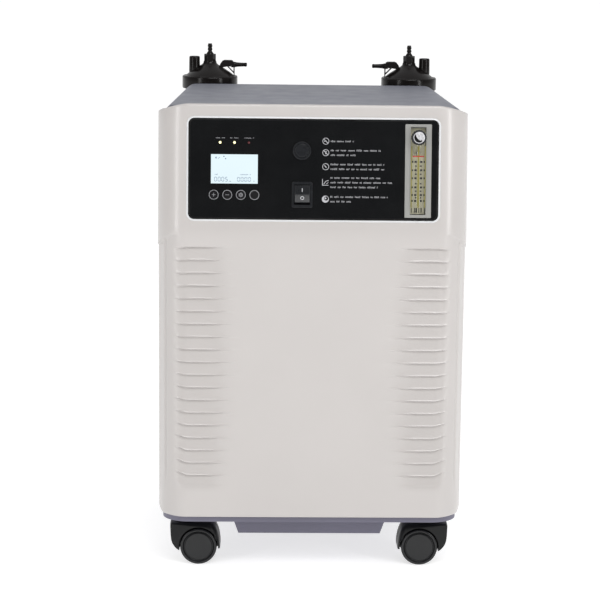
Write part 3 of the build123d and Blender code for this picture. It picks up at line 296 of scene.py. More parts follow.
class Shape:
    """Vertices and faces gathered from several simple forms."""

    def __init__(self):
        self.vertices = []
        self.faces = []

    def add(self, vertices, faces, place=None):
        start = len(self.vertices)
        move = place or Matrix()
        self.vertices += [move @ Vector(v) for v in vertices]
        self.faces += [tuple(start + i for i in face) for face in faces]
        return self

    def piece(self, name, finish, body, slot, **options):
        return make_piece(name, self.vertices, self.faces, finish, body, slot, **options)


def grid_faces(rows, columns, close_rows=False, close_columns=False):
    faces = []
    for r in range(rows if close_rows else rows - 1):
        for c in range(columns if close_columns else columns - 1):
            r2, c2 = (r + 1) % rows, (c + 1) % columns
            faces.append((r * columns + c, r * columns + c2, r2 * columns + c2, r2 * columns + c))
    return faces


def lathe(profile, count=64):
    """A solid of revolution about Z. The profile starts and ends on the axis, and goes upward outside."""
    vertices = [(0, 0, profile[0][1])]
    ring = profile[1:-1]
    for r, z in ring:
        for i in range(count):
            a = 2 * math.pi * i / count
            vertices.append((r * math.cos(a), r * math.sin(a), z))
    vertices.append((0, 0, profile[-1][1]))
    faces = []
    for i in range(count):
        j = (i + 1) % count
        faces.append((0, 1 + j, 1 + i))
        for k in range(len(ring) - 1):
            a, b = 1 + k * count, 1 + (k + 1) * count
            faces.append((a + i, a + j, b + j, b + i))
        last = 1 + (len(ring) - 1) * count
        faces.append((last + i, last + j, len(vertices) - 1))
    return vertices, faces


def hollow_lathe(profile, count=64):
    """A ring or tube about Z from a closed profile that runs upward outside."""
    vertices = []
    for r, z in profile:
        for i in range(count):
            a = 2 * math.pi * i / count
            vertices.append((r * math.cos(a), r * math.sin(a), z))
    return vertices, grid_faces(len(profile), count, True, True)


def plate(outline, low, high, holes=()):
    """A flat plate from z = low to high, with an anticlockwise outline and clockwise holes."""
    loops = [list(outline)] + [list(hole) for hole in holes]
    flat = [[Vector((x, y, 0)) for x, y in loop] for loop in loops]
    points = [point for loop in loops for point in loop]
    count = len(points)
    vertices = [(x, y, low) for x, y in points] + [(x, y, high) for x, y in points]
    faces = []
    for a, b, c in tessellate_polygon(flat):
        ax, ay = points[a]
        bx, by = points[b]
        cx, cy = points[c]
        if (bx - ax) * (cy - ay) - (by - ay) * (cx - ax) < 0:
            b, c = c, b
        faces.append((a + count, b + count, c + count))
        faces.append((c, b, a))
    start = 0
    for loop in loops:
        for i in range(len(loop)):
            a, b = start + i, start + (i + 1) % len(loop)
            faces.append((a, b, b + count, a + count))
        start += len(loop)
    return vertices, faces


def circle(radius, count=40, x=0.0, y=0.0, turn=1):
    return [(x + radius * math.cos(turn * 2 * math.pi * i / count),
             y + radius * math.sin(turn * 2 * math.pi * i / count)) for i in range(count)]


def rounded(width, height, corner, steps=8, x=0.0, y=0.0, turn=1):
    """A rounded rectangle about x, y: anticlockwise, or clockwise if turn is -1."""
    points = []
    for quarter, (sx, sy) in enumerate(((1, 1), (-1, 1), (-1, -1), (1, -1))):
        for i in range(steps + 1):
            a = math.pi / 2 * (quarter + i / steps)
            points.append((x + sx * (width / 2 - corner) + corner * math.cos(a),
                           y + sy * (height / 2 - corner) + corner * math.sin(a)))
    return points if turn > 0 else points[::-1]


def bar(x0, y0, x1, y1):
    return [(x0, y0), (x1, y0), (x1, y1), (x0, y1)]


def stroke(x0, y0, x1, y1, width):
    """A straight line of some width as an outline."""
    along = Vector((x1 - x0, y1 - y0))
    side = Vector((-along.y, along.x)).normalized() * width / 2
    return [(x0 - side.x, y0 - side.y), (x1 - side.x, y1 - side.y),
            (x1 + side.x, y1 + side.y), (x0 + side.x, y0 + side.y)]


def on_face(x, v, n=0.0):
    """A place on the leaning face, with local Z pointing out of it."""
    return FACE @ Matrix.Translation((x, v, n))


# ---- Front cover ----


def lean(z):
    """How far the front has gone back at height z, with a soft bend."""
    soft = 9.0
    above = z - BEND
    if above <= -soft:
        return 0.0
    rate = LEAN_RUN / (TOP - BEND)
    if above < soft:
        return rate * (above + soft) ** 2 / (4 * soft)
    return rate * above


def cover_columns():
    """Places round the cover from its right seam to its left one, as (kind, hand, measure)."""
    right = [("side", 1, t) for t in (0.0, 0.012, 0.04, 0.1, 0.25, 0.4, 0.55, 0.7, 0.85, 0.95)]
    angles = [90, 86, 82, 78, 74, 70, 66, 62, 58, 55, 53.2, 52, 51, 50, 49, 47.8, 46, 43, 40, 37, 34, 31]
    angles += [28.5, 26.5, 25, 23.5, 22, 20.5, 19, 17, 15, 12, 9, 6, 3]
    right += [("corner", 1, math.radians(a)) for a in angles]
    front = [HALF - CORNER - 3.2 * i for i in range(24)]
    right += [("front", 1, x) for x in front] + [("front", 1, 62.0), ("front", 1, 40.0), ("front", 1, 15.0)]
    left = [(kind, -hand, measure) for kind, hand, measure in reversed(right)]
    return right + left


def around(column, z):
    """The plain outline's point and outward direction at a column and height."""
    kind, hand, measure = column
    front = FRONT + lean(z)
    if kind == "side":
        y = SEAM + measure * (front + CORNER - SEAM)
        return Vector((hand * HALF, y, z)), Vector((hand, 0, 0))
    if kind == "corner":
        way = Vector((hand * math.sin(measure), -math.cos(measure), 0))
        centre = Vector((hand * (HALF - CORNER), front + CORNER, z))
        return centre + way * CORNER, way
    return Vector((hand * measure, front, z)), Vector((0, -1, 0))


def degrees_round(column):
    """How far round the corner a column is: 90 along the side, and -1 across the front."""
    kind, _, measure = column
    return 90.0 if kind == "side" else math.degrees(measure) if kind == "corner" else -1.0


def rib_rows():
    """Heights of the ribbed rows: (rib, share down it), with the sharp step at each rib's top."""
    shares = (0.0, 0.05, 0.10, 0.16, 0.26, 0.40, 0.55, 0.70, 0.82, 0.90, 0.955)
    return [(rib, share) for rib in range(RIB_COUNT) for share in shares]


def rib_line(rib):
    return RIB_TOP - RIB_PITCH * rib if rib < RIB_COUNT else RIB_END


def rib_shape(share):
    """How far in the surface is down a rib, from 1 under the step to 0 at the crest."""
    if share < 0.10:
        return smooth(0.0, 0.10, share)
    return ((1 - share) / 0.90) ** 0.62


def rib_strength(column, rib):
    """The ribs end sharply round the corner and fade out towards the middle."""
    x = abs(around(column, BOTTOM)[0].x)
    outer = 1 - smooth(156.0, 169.0, x)
    reach = 94.0 - 10.0 * math.sin(math.pi * rib / (RIB_COUNT - 1))
    return outer * smooth(reach, 132.0, x) if column[0] != "side" else 0.0


def rib_bend(column, rib):
    """The ribs' outer ends turn down a little at the top and up at the bottom."""
    x = abs(around(column, BOTTOM)[0].x)
    rise = -1.5 + 6.1 * (rib / (RIB_COUNT - 1)) ** 1.3
    return rise * smooth(148.0, 166.0, x) if column[0] != "side" else rise


def lower_inset(angle, z):
    """The lower body is set in round its sides, with a crease down the corner and a flat strip behind it."""
    if angle <= 0:
        return 0.0
    ledge = 420.0 - 17.5 * smooth(20.0, 86.0, angle)
    below = 1 - smooth(ledge - 1.8, ledge + 0.8, z)
    side = 1.9 * smooth(10.0, 46.0, angle) - 0.9 * smooth(70.0, 88.0, angle)
    strip = 0.9 * math.exp(-((angle - 68.0) / 11.0) ** 2)
    crease = 1.2 * math.exp(-((angle - 50.5) / 2.2) ** 2)
    foot = smooth(104.0, 124.0, z)
    return below * (side + (strip + crease) * foot)


def crown(column):
    """How far the top edge has dropped: round the corner, and then along the side to the seam."""
    along = 1 - column[2] if column[0] == "side" else 0.0
    return 0.2 + CORNER_DROP * smooth(-5.0, 95.0, degrees_round(column)) + SIDE_DROP * along


def foot_rise(column):
    """The bottom edge turns up a little round the corners."""
    return 6.5 * smooth(55.0, 90.0, degrees_round(column)) ** 2


def cover_profile(column):
    """(height, inset) round the wall at a column: up the outside, over the lip and down the inside."""
    angle = degrees_round(column)
    top = TOP - crown(column)
    rise = foot_rise(column)
    seam_edge = {0.0: 1.1, 0.012: 0.25}.get(column[2], 0.0) if column[0] == "side" else 0.0
    profile = [(BOTTOM + rise, 1.9), (BOTTOM + rise + 0.35, 0.7), (BOTTOM + rise + 1.1, 0.12)]
    profile += [(BOTTOM + rise + 2.4, 0.0), (BOTTOM + 15.0, 0.0), (94.0, 0.0), (101.0, 0.0)]
    profile = [(z, inset + lower_inset(angle, z)) for z, inset in profile]
    for rib, share in reversed(rib_rows()):
        line, following = rib_line(rib), rib_line(rib + 1)
        line += rib_bend(column, rib)
        following += rib_bend(column, rib + 1) if rib + 1 < RIB_COUNT else rib_bend(column, rib)
        z = line + (following - line) * share
        depth = RIB_DEPTH * rib_strength(column, rib) * rib_shape(share)
        profile.append((z, depth + lower_inset(angle, z)))
    first = rib_line(0) + rib_bend(column, 0)
    for share in [0.08 * i for i in range(1, 15)] + [1.22, 1.4, 1.7, 2.1]:
        z = first + (BEND - first) * share
        profile.append((z, lower_inset(angle, z)))
    for share in (0.3, 0.6, 0.85, 1.0):
        z = BEND + 20 + (top - TOP_ROUND - BEND - 20) * share
        profile.append((z, 0.0))
    for turn in (25, 50, 72, 90):
        a = math.radians(turn)
        profile.append((top - TOP_ROUND * (1 - math.sin(a)), TOP_ROUND * (1 - math.cos(a))))
    outside = [(z, inset + seam_edge) for z, inset in profile]
    inner = LIP if seam_edge else WALL + 0.4
    inside = [(top, LIP), (top - 3.0, LIP), (top - 3.6, inner), (BEND + 6, inner), (BEND - 14, LIP - 0.1)]
    return outside + inside + [(BOTTOM + 8.0, LIP - 0.1), (BOTTOM + rise, LIP - 0.1)]


def make_cover_mesh():
    columns = cover_columns()
    vertices = []
    for column in columns:
        for z, inset in cover_profile(column):
            point, way = around(column, z)
            vertices.append(point - way * inset)
    rows = len(vertices) // len(columns)
    faces = grid_faces(len(columns), rows, False, True)
    faces.append(tuple(range(rows)))
    faces.append(tuple(reversed(range(len(vertices) - rows, len(vertices)))))
    return vertices, faces


def cut(piece, cutter):
    """Take a closed shape out of a piece, and remove the cutter."""
    action = piece.modifiers.new("cut", "BOOLEAN")
    action.operation = "DIFFERENCE"
    action.solver = "EXACT"
    action.object = cutter
    bpy.context.view_layer.objects.active = piece
    bpy.ops.object.modifier_apply(modifier=action.name)
    bpy.data.objects.remove(cutter)


def make_cutter(vertices, faces, place=None):
    mesh = bpy.data.meshes.new("cutter")
    move = place or Matrix()
    mesh.from_pydata([move @ Vector(v) * MM for v in vertices], [], faces)
    cutter = bpy.data.objects.new("cutter", mesh)
    bpy.context.scene.collection.objects.link(cutter)
    return cutter


def make_front_cover():
    vertices, faces = make_cover_mesh()
    cover = make_piece("cover_shell", vertices, faces, WHITE, "cabinet", "cover_white", sharp=50.0)
    window = plate(rounded(PANEL_SIZE[0] + 0.4, PANEL_SIZE[1] + 0.4, PANEL_CORNER), -14, 6)
    cut(cover, make_cutter(*window, on_face(0, PANEL_V)))
    slots = Shape()
    for hand in (-1, 1):
        for row in range(3):
            z = 101 + 9 * row
            upright = Matrix(((0, 0, 1, hand * HALF), (1, 0, 0, -96), (0, 1, 0, z + 2), (0, 0, 0, 1)))
            slots.add(*plate(rounded(48, 4, 1.9), -8, 8), upright)
    cut(cover, make_cutter(slots.vertices, slots.faces))
    cover.data.shade_smooth()
    cover.data.set_sharp_from_angle(angle=math.radians(50))
    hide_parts("front_cover")


def make_base():
    """The base plate and tray, with the plate's rim drawn in below."""
    shell = bpy.data.objects.new("base_moulding", NODES["base_tray"].data.copy())
    bpy.context.scene.collection.objects.link(shell)
    sections = [(400, 400, 20, 68.1), (400, 400, 20, 55), (333, 344, 26, 55), (334, 345, 26, 61.9)]
    sections.append((364, 354, 32, 68.1))
    loops = [[(x, y, z) for x, y in rounded(w, d, corner, 10)] for w, d, corner, z in sections]
    vertices = [point for loop in loops for point in loop]
    cut(shell, make_cutter(vertices, grid_faces(len(loops), len(loops[0]), True, True)))
    shell.data.materials.clear()
    shell.data.materials.append(BASE_GREY)
    shell.data.shade_smooth()
    shell.data.set_sharp_from_angle(angle=math.radians(30))
    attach(shell, "cabinet")
    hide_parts("base_tray")


def make_panel_trim():
    """The raised bead round the control panel."""
    width, height = PANEL_SIZE
    section = [(0.15, -2.4), (0.15, 0.1), (0.35, 0.75), (0.8, 1.05), (1.35, 1.0), (2.0, 0.6), (2.6, 0.02)]
    section += [(2.8, -0.6), (2.8, -2.4)]
    loops = [[(x, y, n) for x, y in rounded(width + 2 * out, height + 2 * out, PANEL_CORNER + out, 12)]
             for out, n in section]
    vertices = [point for loop in loops for point in loop]
    faces = [face[::-1] for face in grid_faces(len(loops), len(loops[0]), True, True)]
    # The bead's lighter colour is a painted highlight.
    make_piece("panel_trim", vertices, faces, TRIM_PAINTED_HIGHLIGHT, "cabinet", "cover_white", where=on_face(0, PANEL_V))


# ---- Panel graphics ----


def word_line(shape, x, y, length, height, chooser):
    """Small upright strokes in word-sized groups, which stand for print without saying anything."""
    end = x + length
    while x < end:
        for letter in range(chooser.choice((2, 3, 4, 5, 6, 7))):
            if x > end:
                break
            tall = height * chooser.choice((0.72, 0.72, 0.8, 1.0))
            wide = 0.95
            shape.add(*plate(bar(x, y, x + 0.42, y + tall), 0.0, 0.05))
            shape.add(*plate(bar(x + 0.38, y + tall - 0.42, x + wide, y + tall), 0.0, 0.06))
            if letter % 2:
                shape.add(*plate(bar(x + 0.38, y, x + wide, y + 0.42), 0.0, 0.06))
            x += wide + 0.42
        x += 1.9


def icon_ring(shape, x, y, radius=4.0, line=0.6):
    shape.add(*plate(circle(radius, 40, x, y), 0.0, 0.05, [circle(radius - line, 40, x, y, -1)]))


def make_panel_print():
    chooser = random.Random(7)
    print_lines, labels = Shape(), Shape()
    text = [(111.8, [27]), (98.1 + 1.4, [61, 30]), (81.4 + 1.4, [64, 64]), (62.6 + 2.8, [60, 74, 57])]
    text.append((42.6 + 1.4, [69, 25]))
    drop = {1: 0.0, 2: 5.6, 3: 5.6}
    for v, lengths in text:
        for row, length in enumerate(lengths):
            y = v + (len(lengths) - 1) * 1.4 - row * drop[len(lengths)] - 1.0
            word_line(print_lines, 20.3, y, length, 2.0, chooser)
    for x in (-111.9, -94.7, -77.5):
        word_line(labels, x - 5.2, 114.0, 10.5, 1.4, chooser)
    face = on_face(0, 0, PANEL_FACE)
    labels.piece("lamp_lettering", PRINT_DIM, "cabinet", "panel_black", where=face)
    print_lines.piece("panel_lettering", PRINT_WHITE, "cabinet", "panel_black", where=face)
    icons = Shape()
    x = 14.3
    for v in (111.8, 98.1, 81.4):
        icon_ring(icons, x, v)
    icons.add(*plate(stroke(x - 2.4, 114.2, x + 2.4, 109.4, 0.8), 0.0, 0.05))
    icons.add(*plate(stroke(x - 2.0, 111.3, x + 0.6, 112.6, 0.7), 0.0, 0.05))
    icons.add(*plate(stroke(x - 2.4, 100.5, x + 2.4, 95.7, 0.8), 0.0, 0.05))
    icons.add(*plate(stroke(x, 96.2, x + 0.4, 100.4, 0.9), 0.0, 0.05))
    icons.add(*plate(stroke(x - 1.4, 82.9, x + 0.9, 80.4, 1.0), 0.0, 0.05))
    icons.add(*plate(bar(x - 4.0, 59.4, x - 3.3, 66.6), 0.0, 0.05))
    icons.add(*plate(bar(x - 4.0, 58.9, x + 3.6, 59.5), 0.0, 0.05))
    icons.add(*plate(stroke(x - 2.2, 60.4, x + 0.4, 64.2, 0.7), 0.0, 0.05))
    icons.add(*plate(stroke(x + 0.4, 64.2, x + 3.6, 64.9, 0.7), 0.0, 0.05))
    icons.add(*plate(stroke(x + 0.8, 60.6, x + 3.4, 62.6, 0.6), 0.0, 0.05))
    icons.add(*plate(circle(4.2, 40, x, 42.6), 0.0, 0.05, [circle(2.5, 32, x + 0.9, 43.4, -1)]))
    icons.add(*plate(circle(1.1, 20, x + 0.2, 43.6), 0.0, 0.05))
    icons.piece("panel_icons", PRINT_WHITE, "cabinet", "panel_black", where=face)
    border = plate(rounded(298.4, 119.6, 6.7), 0.0, 0.03, [rounded(294.6, 115.8, 4.8, turn=-1)])
    make_piece("panel_border", *border, BORDER, "cabinet", "panel_black",
               where=on_face(0, PANEL_V, PANEL_FACE))


def make_key_marks():
    """A ring and a sign on each key, which travel with it."""
    signs = {"plus": Shape(), "minus": Shape(), "settings": Shape(), "mute": Shape()}
    signs["plus"].add(*plate(bar(-2.2, -0.25, 2.2, 0.25), 0, 0.05))
    signs["plus"].add(*plate(bar(-0.25, -2.2, 0.25, 2.2), 0.0, 0.06))
    signs["minus"].add(*plate(bar(-2.2, -0.25, 2.2, 0.25), 0, 0.05))
    for i in range(6):
        a = math.pi / 3 * i + math.pi / 6
        signs["settings"].add(*plate(circle(0.95, 16, 1.75 * math.cos(a), 1.75 * math.sin(a)), 0, 0.05,
                                     [circle(0.5, 16, 1.75 * math.cos(a), 1.75 * math.sin(a), -1)]))
    for name, shape in signs.items():
        low, high = cad("key_" + name)
        x = (low.x + high.x) / 2
        icon_ring(shape, 0, 0, 5.75, 0.62)
        shape.piece("mark_" + name, PRINT_DIM, "key_" + name, "key_black", where=on_face(x, 46.8, 0.79))


SEGMENTS = {"0": "abcdef", "5": "acdfg"}


def digit(shape, sign, x, y, width, height, line):
    """A seven-segment digit with its lower left corner at x, y."""
    middle = y + height / 2
    slots = {"a": (x, y + height, x + width, y + height), "g": (x, middle, x + width, middle),
             "d": (x, y, x + width, y), "f": (x, middle, x, y + height), "e": (x, y, x, middle),
             "b": (x + width, middle, x + width, y + height), "c": (x + width, y, x + width, middle)}
    for name in SEGMENTS[sign]:
        x0, y0, x1, y1 = slots[name]
        gap = Vector((x1 - x0, y1 - y0)).normalized() * line * 0.7
        shape.add(*plate(stroke(x0 + gap.x, y0 + gap.y, x1 - gap.x, y1 - gap.y, line), 0.0, 0.04))


def make_display_marks():
    """The display's digits and small signs."""
    left = cad("lcd_screen")[0].x
    shape = Shape()
    for i, sign in enumerate("0005"):
        digit(shape, sign, left + 4.2 + 4.3 * i, 63.0, 2.7, 4.8, 0.6)
    for i, sign in enumerate("0000"):
        digit(shape, sign, left + 31.6 + 4.3 * i, 63.0, 2.7, 4.8, 0.6)
    chooser = random.Random(3)
    word_line(shape, left + 4.6, 70.6, 3.5, 1.1, chooser)
    word_line(shape, left + 35.0, 70.4, 12.0, 1.1, chooser)
    word_line(shape, left + 21.5, 62.6, 2.2, 1.0, chooser)
    word_line(shape, left + 51.0, 62.6, 1.2, 1.6, chooser)
    shape.add(*plate(circle(1.0, 20, left + 6.0, 91.0), 0, 0.04, [circle(0.45, 20, left + 6.0, 91.0, -1)]))
    shape.add(*plate(stroke(left + 8.2, 89.8, left + 10.4, 91.4, 0.45), 0, 0.04))
    shape.add(*plate(circle(0.7, 16, left + 15.4, 92.6), 0, 0.04))
    shape.add(*plate(circle(0.7, 16, left + 17.4, 89.9), 0, 0.04))
    shape.piece("lcd_marks", PRINT_LCD, "cabinet", "display", where=on_face(0, 0, 0.2))


def make_rocker():
    """The rocker with a concave top, rounded edges and its two marks."""
    half, width, valley, tilt = 10.4, 18.5, 4.5, math.radians(9)
    rise = valley + half * math.tan(tilt)
    steps = 16
    top = [half * (2 * i / steps - 1) for i in range(steps + 1)]
    outline = [(-half, -3.0), (half, -3.0)]
    for y in reversed(top):
        share = abs(y) / half
        outline.append((y, valley + (rise - valley) * share ** 1.25))
    across = Matrix(((0, 0, 1, 0), (1, 0, 0, 0), (0, 1, 0, 0), (0, 0, 0, 1)))
    tipped = Matrix.Translation((0, 0, -1.5)) @ Matrix.Rotation(-tilt, 4, "X")
    where = on_face(-13.5, 47.7) @ tipped
    body = Shape().add(*plate(outline, -width / 2, width / 2), across)
    rocker = body.piece("rocker_cap", TRIM_BLACK, "rocker", "trim_black", bevel=0.7, where=where, sharp=40.0)
    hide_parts("rocker_switch")
    marks = Shape()
    slope = math.atan2(rise - valley, half)
    upper = Matrix.Translation((0, 4.9, valley + 0.50)) @ Matrix.Rotation(slope * 0.9, 4, "X")
    lower = Matrix.Translation((0, -4.9, valley + 0.50)) @ Matrix.Rotation(-slope * 0.9, 4, "X")
    marks.add(*plate(bar(-0.45, -2.1, 0.45, 2.1), 0.0, 0.32), upper)
    marks.add(*plate(circle(2.3, 28), 0.0, 0.32, [circle(1.5, 28, turn=-1)]), lower)
    marks.piece("rocker_marks", PRINT_WHITE, "rocker", "trim_black", where=where)


# ---- Flowmeter ----


def make_meter_scale():
    """The printed scale: stripes behind the float's bore, ticks, end marks and the limit line."""
    x, low, high = 125.1, 33.5, 107.0
    stripes = Shape()
    for offset, wide in ((-8.1, 1.3), (0.0, 2.2), (8.1, 1.3)):
        stripes.add(*plate(bar(x + offset - wide / 2, low, x + offset + wide / 2, high), 0, 0.04))
    stripes.piece("meter_stripes", PRINT_OLIVE, "cabinet", "plate_metal", where=on_face(0, 0, 3.5))
    ticks = Shape()
    for i, v in enumerate((88.2, 83.1, 78.2, 73.4, 68.6, 62.1, 57.7, 53.2, 48.6, 45.3, 41.5)):
        long = i % 2 == 0
        reach = 2.8 if long else 2.0
        for hand in (-1, 1):
            near = x + hand * 1.9
            ticks.add(*plate(bar(*sorted_bar(near, v, near + hand * reach, 2.4 if long else 1.7)), 0, 0.05))
            if long:
                far = x + hand * 6.3
                ticks.add(*plate(bar(*sorted_bar(far, v, far + hand * 1.7, 2.2)), 0, 0.05))
    for offset, wide in ((-7.9, 1.0), (-4.2, 1.2), (-2.0, 2.0), (1.2, 1.2), (3.8, 1.6), (7.9, 1.0)):
        ticks.add(*plate(bar(x + offset - wide / 2, 27.4, x + offset + wide / 2, 33.2), 0, 0.05))
    ticks.piece("meter_ticks", PRINT_BLACK, "cabinet", "plate_metal", where=on_face(0, 0, 3.5))
    line = plate(bar(x - 7.0, 94.0, x + 6.8, 95.3), 0, 0.06)
    make_piece("meter_limit_line", *line, PRINT_RED, "cabinet", "plate_metal", where=on_face(0, 0, 3.5))
    back = plate(bar(x - 8.8, 25.6, x + 8.8, 128.6), -4.9, -4.5)
    make_piece("meter_backing", *back, PRINT_SILVER, "cabinet", "plate_metal", where=on_face(0, 0))


def sorted_bar(x0, v, x1, height):
    return min(x0, x1), v - height / 2, max(x0, x1), v + height / 2


def make_knob():
    """The valve knob: fluted black rim and a turned metal face."""
    low, high = cad("flow_knob")
    x = (low.x + high.x) / 2
    where = on_face(x, 116.9)
    count, radius = 144, 9.2
    rows = [(radius - 0.7, 4.5), (radius, 5.2), (radius, 11.4), (radius - 0.5, 12.4), (radius - 1.4, 12.8),
            (radius - 2.0, 12.6)]
    vertices = [(0, 0, 4.5)]
    for index, (r, z) in enumerate(rows):
        for i in range(count):
            a = 2 * math.pi * i / count
            flute = 0.45 * max(0.0, math.cos(18 * a)) if 0 < index < 4 else 0.0
            vertices.append(((r - flute) * math.cos(a), (r - flute) * math.sin(a), z))
    vertices.append((0, 0, 12.6))
    faces = [(0, 1 + (i + 1) % count, 1 + i) for i in range(count)]
    faces += [tuple(1 + index for index in face) for face in grid_faces(len(rows), count, False, True)]
    last = 1 + (len(rows) - 1) * count
    faces += [(last + i, last + (i + 1) % count, len(vertices) - 1) for i in range(count)]
    rim = Shape().add(vertices, faces).add(*lathe([(0, -11), (3, -11), (3, 5), (0, 5)], 32))
    knob = rim.piece("knob_rim", TRIM_BLACK, "knob", "knob_metal", where=where)
    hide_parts("flow_knob")
    face = lathe([(0, 12.3), (6.8, 12.3), (6.8, 12.7), (6.5, 12.92), (6.0, 12.98), (3.5, 12.92), (0, 12.9)])
    make_piece("knob_face", *face, KNOB_METAL, "knob", "knob_metal", where=where)
    marks = Shape()
    # The dark band on the lower left is painted shadow on the metal face.
    marks.add(*plate(painted_shadow_band(), 12.75, 13.02))
    marks.add(*plate(circle(0.6, 16, 2.6, -3.4), 12.75, 13.02))
    marks.piece("knob_mark_and_painted_shadow", BORDER, "knob", "knob_metal", where=where)


def painted_shadow_band():
    """Painted shadow: a dark curved band on the lower left of the knob's face."""
    outer = [(6.0 * math.cos(math.radians(a)), 6.0 * math.sin(math.radians(a))) for a in range(135, 316, 9)]
    inner = [(5.0 + 9.27 * math.cos(math.radians(a)), 5.0 + 9.27 * math.sin(math.radians(a)))
             for a in range(262, 187, -5)]
    return outer + inner


# ---- Humidifiers ----


def humidifier_place(hand):
    """The humidifier's axis, with its nozzle pointing to the middle of the machine."""
    low, high = cad("humidifier_bottle_" + ("left" if hand < 0 else "right"))
    centre = (low + high) / 2
    turn = Matrix() if hand < 0 else Matrix.Rotation(math.pi, 4, "Z")
    return Matrix.Translation((centre.x, centre.y, 0)) @ turn


def make_cap(hand):
    side = "left" if hand < 0 else "right"
    body = "cap_" + side
    where = humidifier_place(hand)
    low, high = cad("humidifier_cap_" + side)
    bottom, radius = low.z, 36.7
    shoulder = bottom + 17.0
    skirt = [(30.6, bottom + 13), (30.6, bottom), (radius - 0.9, bottom), (radius - 0.2, bottom + 0.7),
             (radius, bottom + 2.0), (radius + 0.0, shoulder - 2.6), (radius - 0.25, shoulder - 1.2),
             (radius - 0.9, shoulder - 0.35), (radius - 1.9, shoulder), (radius - 2.9, shoulder - 0.25),
             (radius - 3.6, shoulder - 0.9), (32.2, shoulder - 0.2), (30.4, shoulder + 1.4),
             (26, shoulder + 4.9),
             (20, shoulder + 8.7), (14.2, shoulder + 12.2), (10.6, shoulder + 14.4), (8.9, shoulder + 16.2),
             (8.4, shoulder + 19.0)]
    count = 96
    vertices = []
    for r, z in skirt:
        vertices += [(r * math.cos(2 * math.pi * i / count), r * math.sin(2 * math.pi * i / count), z)
                     for i in range(count)]
    faces = grid_faces(len(skirt), count, False, True)
    vertices.append((0, 0, shoulder + 19.0))
    last = (len(skirt) - 1) * count
    faces += [(last + i, last + (i + 1) % count, len(vertices) - 1) for i in range(count)]
    vertices.append((0, 0, bottom + 13))
    faces += [((i + 1) % count, i, len(vertices) - 1) for i in range(count)]
    shell = Shape().add(vertices, faces)
    port = [(6.9, shoulder + 0.5), (7.35, shoulder + 6), (7.05, shoulder + 23.6), (6.4, shoulder + 25.0),
            (5.0, shoulder + 25.0), (4.6, shoulder + 24.4), (4.6, shoulder + 4.0), (4.0, shoulder + 0.5)]
    shell.add(*hollow_lathe(port, 48), Matrix.Translation((-20.5, 0, 0)))
    cap = shell.piece("cap_body_" + side, CAP_BLACK, body, "cap_black", where=where, sharp=38.0)
    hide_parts("humidifier_cap_" + side)
    z = shoulder + 14.3
    arch = [(12.0, z - 4.4), (22.9, z - 2.6), (31.4, z - 11.2), (32.8, z - 15.8), (32.8, z - 1.0),
            (31.6, z + 3.2),
            (30.4, z + 5.2), (28.4, z + 6.0), (18.9, z + 6.0), (16.6, z + 5.0), (13.6, z + 1.0)]
    window = [(29.9, z - 7.8), (24.6, z - 2.5), (24.6, z - 2.4), (31.3, z - 2.4), (31.3, z - 9.2)]
    upright = Matrix(((1, 0, 0, 0), (0, 0, -1, 0), (0, 1, 0, 0), (0, 0, 0, 1)))
    bridge = Shape().add(*plate(arch, -4.2, 4.2, [window[::-1]]), upright)
    bridge.piece("cap_bridge_" + side, CAP_BLACK, body, "cap_black", where=where, bevel=0.7)
    tip = high.x - where.translation.x if hand < 0 else where.translation.x - low.x
    nozzle = [(0, 28), (3.5, 28), (3.9, 30), (3.7, 33), (3.0, 36), (2.75, 40), (2.5, tip - 3.4),
              (2.75, tip - 2.4),
              (2.6, tip - 1.0), (2.1, tip), (1.2, tip), (1.1, tip - 4), (0, tip - 4)]
    along = Matrix.Translation((0, 0, z)) @ Matrix.Rotation(math.pi / 2, 4, "Y")
    spout = Shape().add(*lathe(nozzle, 40), along)
    spout.piece("cap_nozzle_" + side, CAP_BLACK, body, "cap_black", where=where, sharp=45.0)


def make_inlet(hand):
    """The hexagonal nut with its stepped hose barb."""
    side = "left" if hand < 0 else "right"
    low, high = cad("inlet_barb_" + side)
    where = humidifier_place(hand)
    nut_top, top = high.z - 13.7, high.z
    nut = Shape().add(*plate(circle(8.0, 6), low.z - 2.6, nut_top))
    nut.piece("inlet_nut_" + side, CAP_BLACK, "cap_" + side, "cap_black", where=where, bevel=0.8)
    barb = [(0, nut_top - 1), (4.9, nut_top - 1), (4.7, nut_top + 0.6), (3.6, nut_top + 2.2)]
    barb.append((2.6, nut_top + 3.6))
    for start in (nut_top + 4.4, nut_top + 8.8):
        barb += [(2.5, start), (3.15, start + 0.6), (3.2, start + 1.7), (2.7, start + 3.6)]
    barb += [(2.5, top - 0.3), (2.3, top), (1.2, top), (1.1, top - 3), (0, top - 3)]
    made = make_piece("inlet_spigot_" + side, *lathe(barb, 40), CAP_BLACK, "cap_" + side, "cap_black",
                      where=where, sharp=45.0)
    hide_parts("inlet_barb_" + side)


# ---- Casters ----


def hood_outline(radius, top):
    """The hood seen along its axle, which is at the origin, with the stem's side to -X, anticlockwise."""
    points = [(27.0, -2.8), (26.8, 2.0), (26.3, 7.0), (25.4, 11.8), (24.1, 16.2), (22.4, 20.4), (20.2, 24.0)]
    points += [(17.6, 26.9), (14.6, top - 0.3)]
    points += [(10.2, top), (-33.4, top), (-34.6, top - 0.6), (-35.4, top - 2.2), (-35.0, 14.0), (-34.3, 7.6)]
    points += [(-33.0, 3.6), (-30.8, 0.0), (-28.2, -3.0), (-24.9, -5.4)]
    arch = radius + 1.6
    for i in range(29):
        a = math.radians(193.5 - (193.5 + 6) * i / 28)
        points.append((arch * math.cos(a), arch * math.sin(a)))
    return points


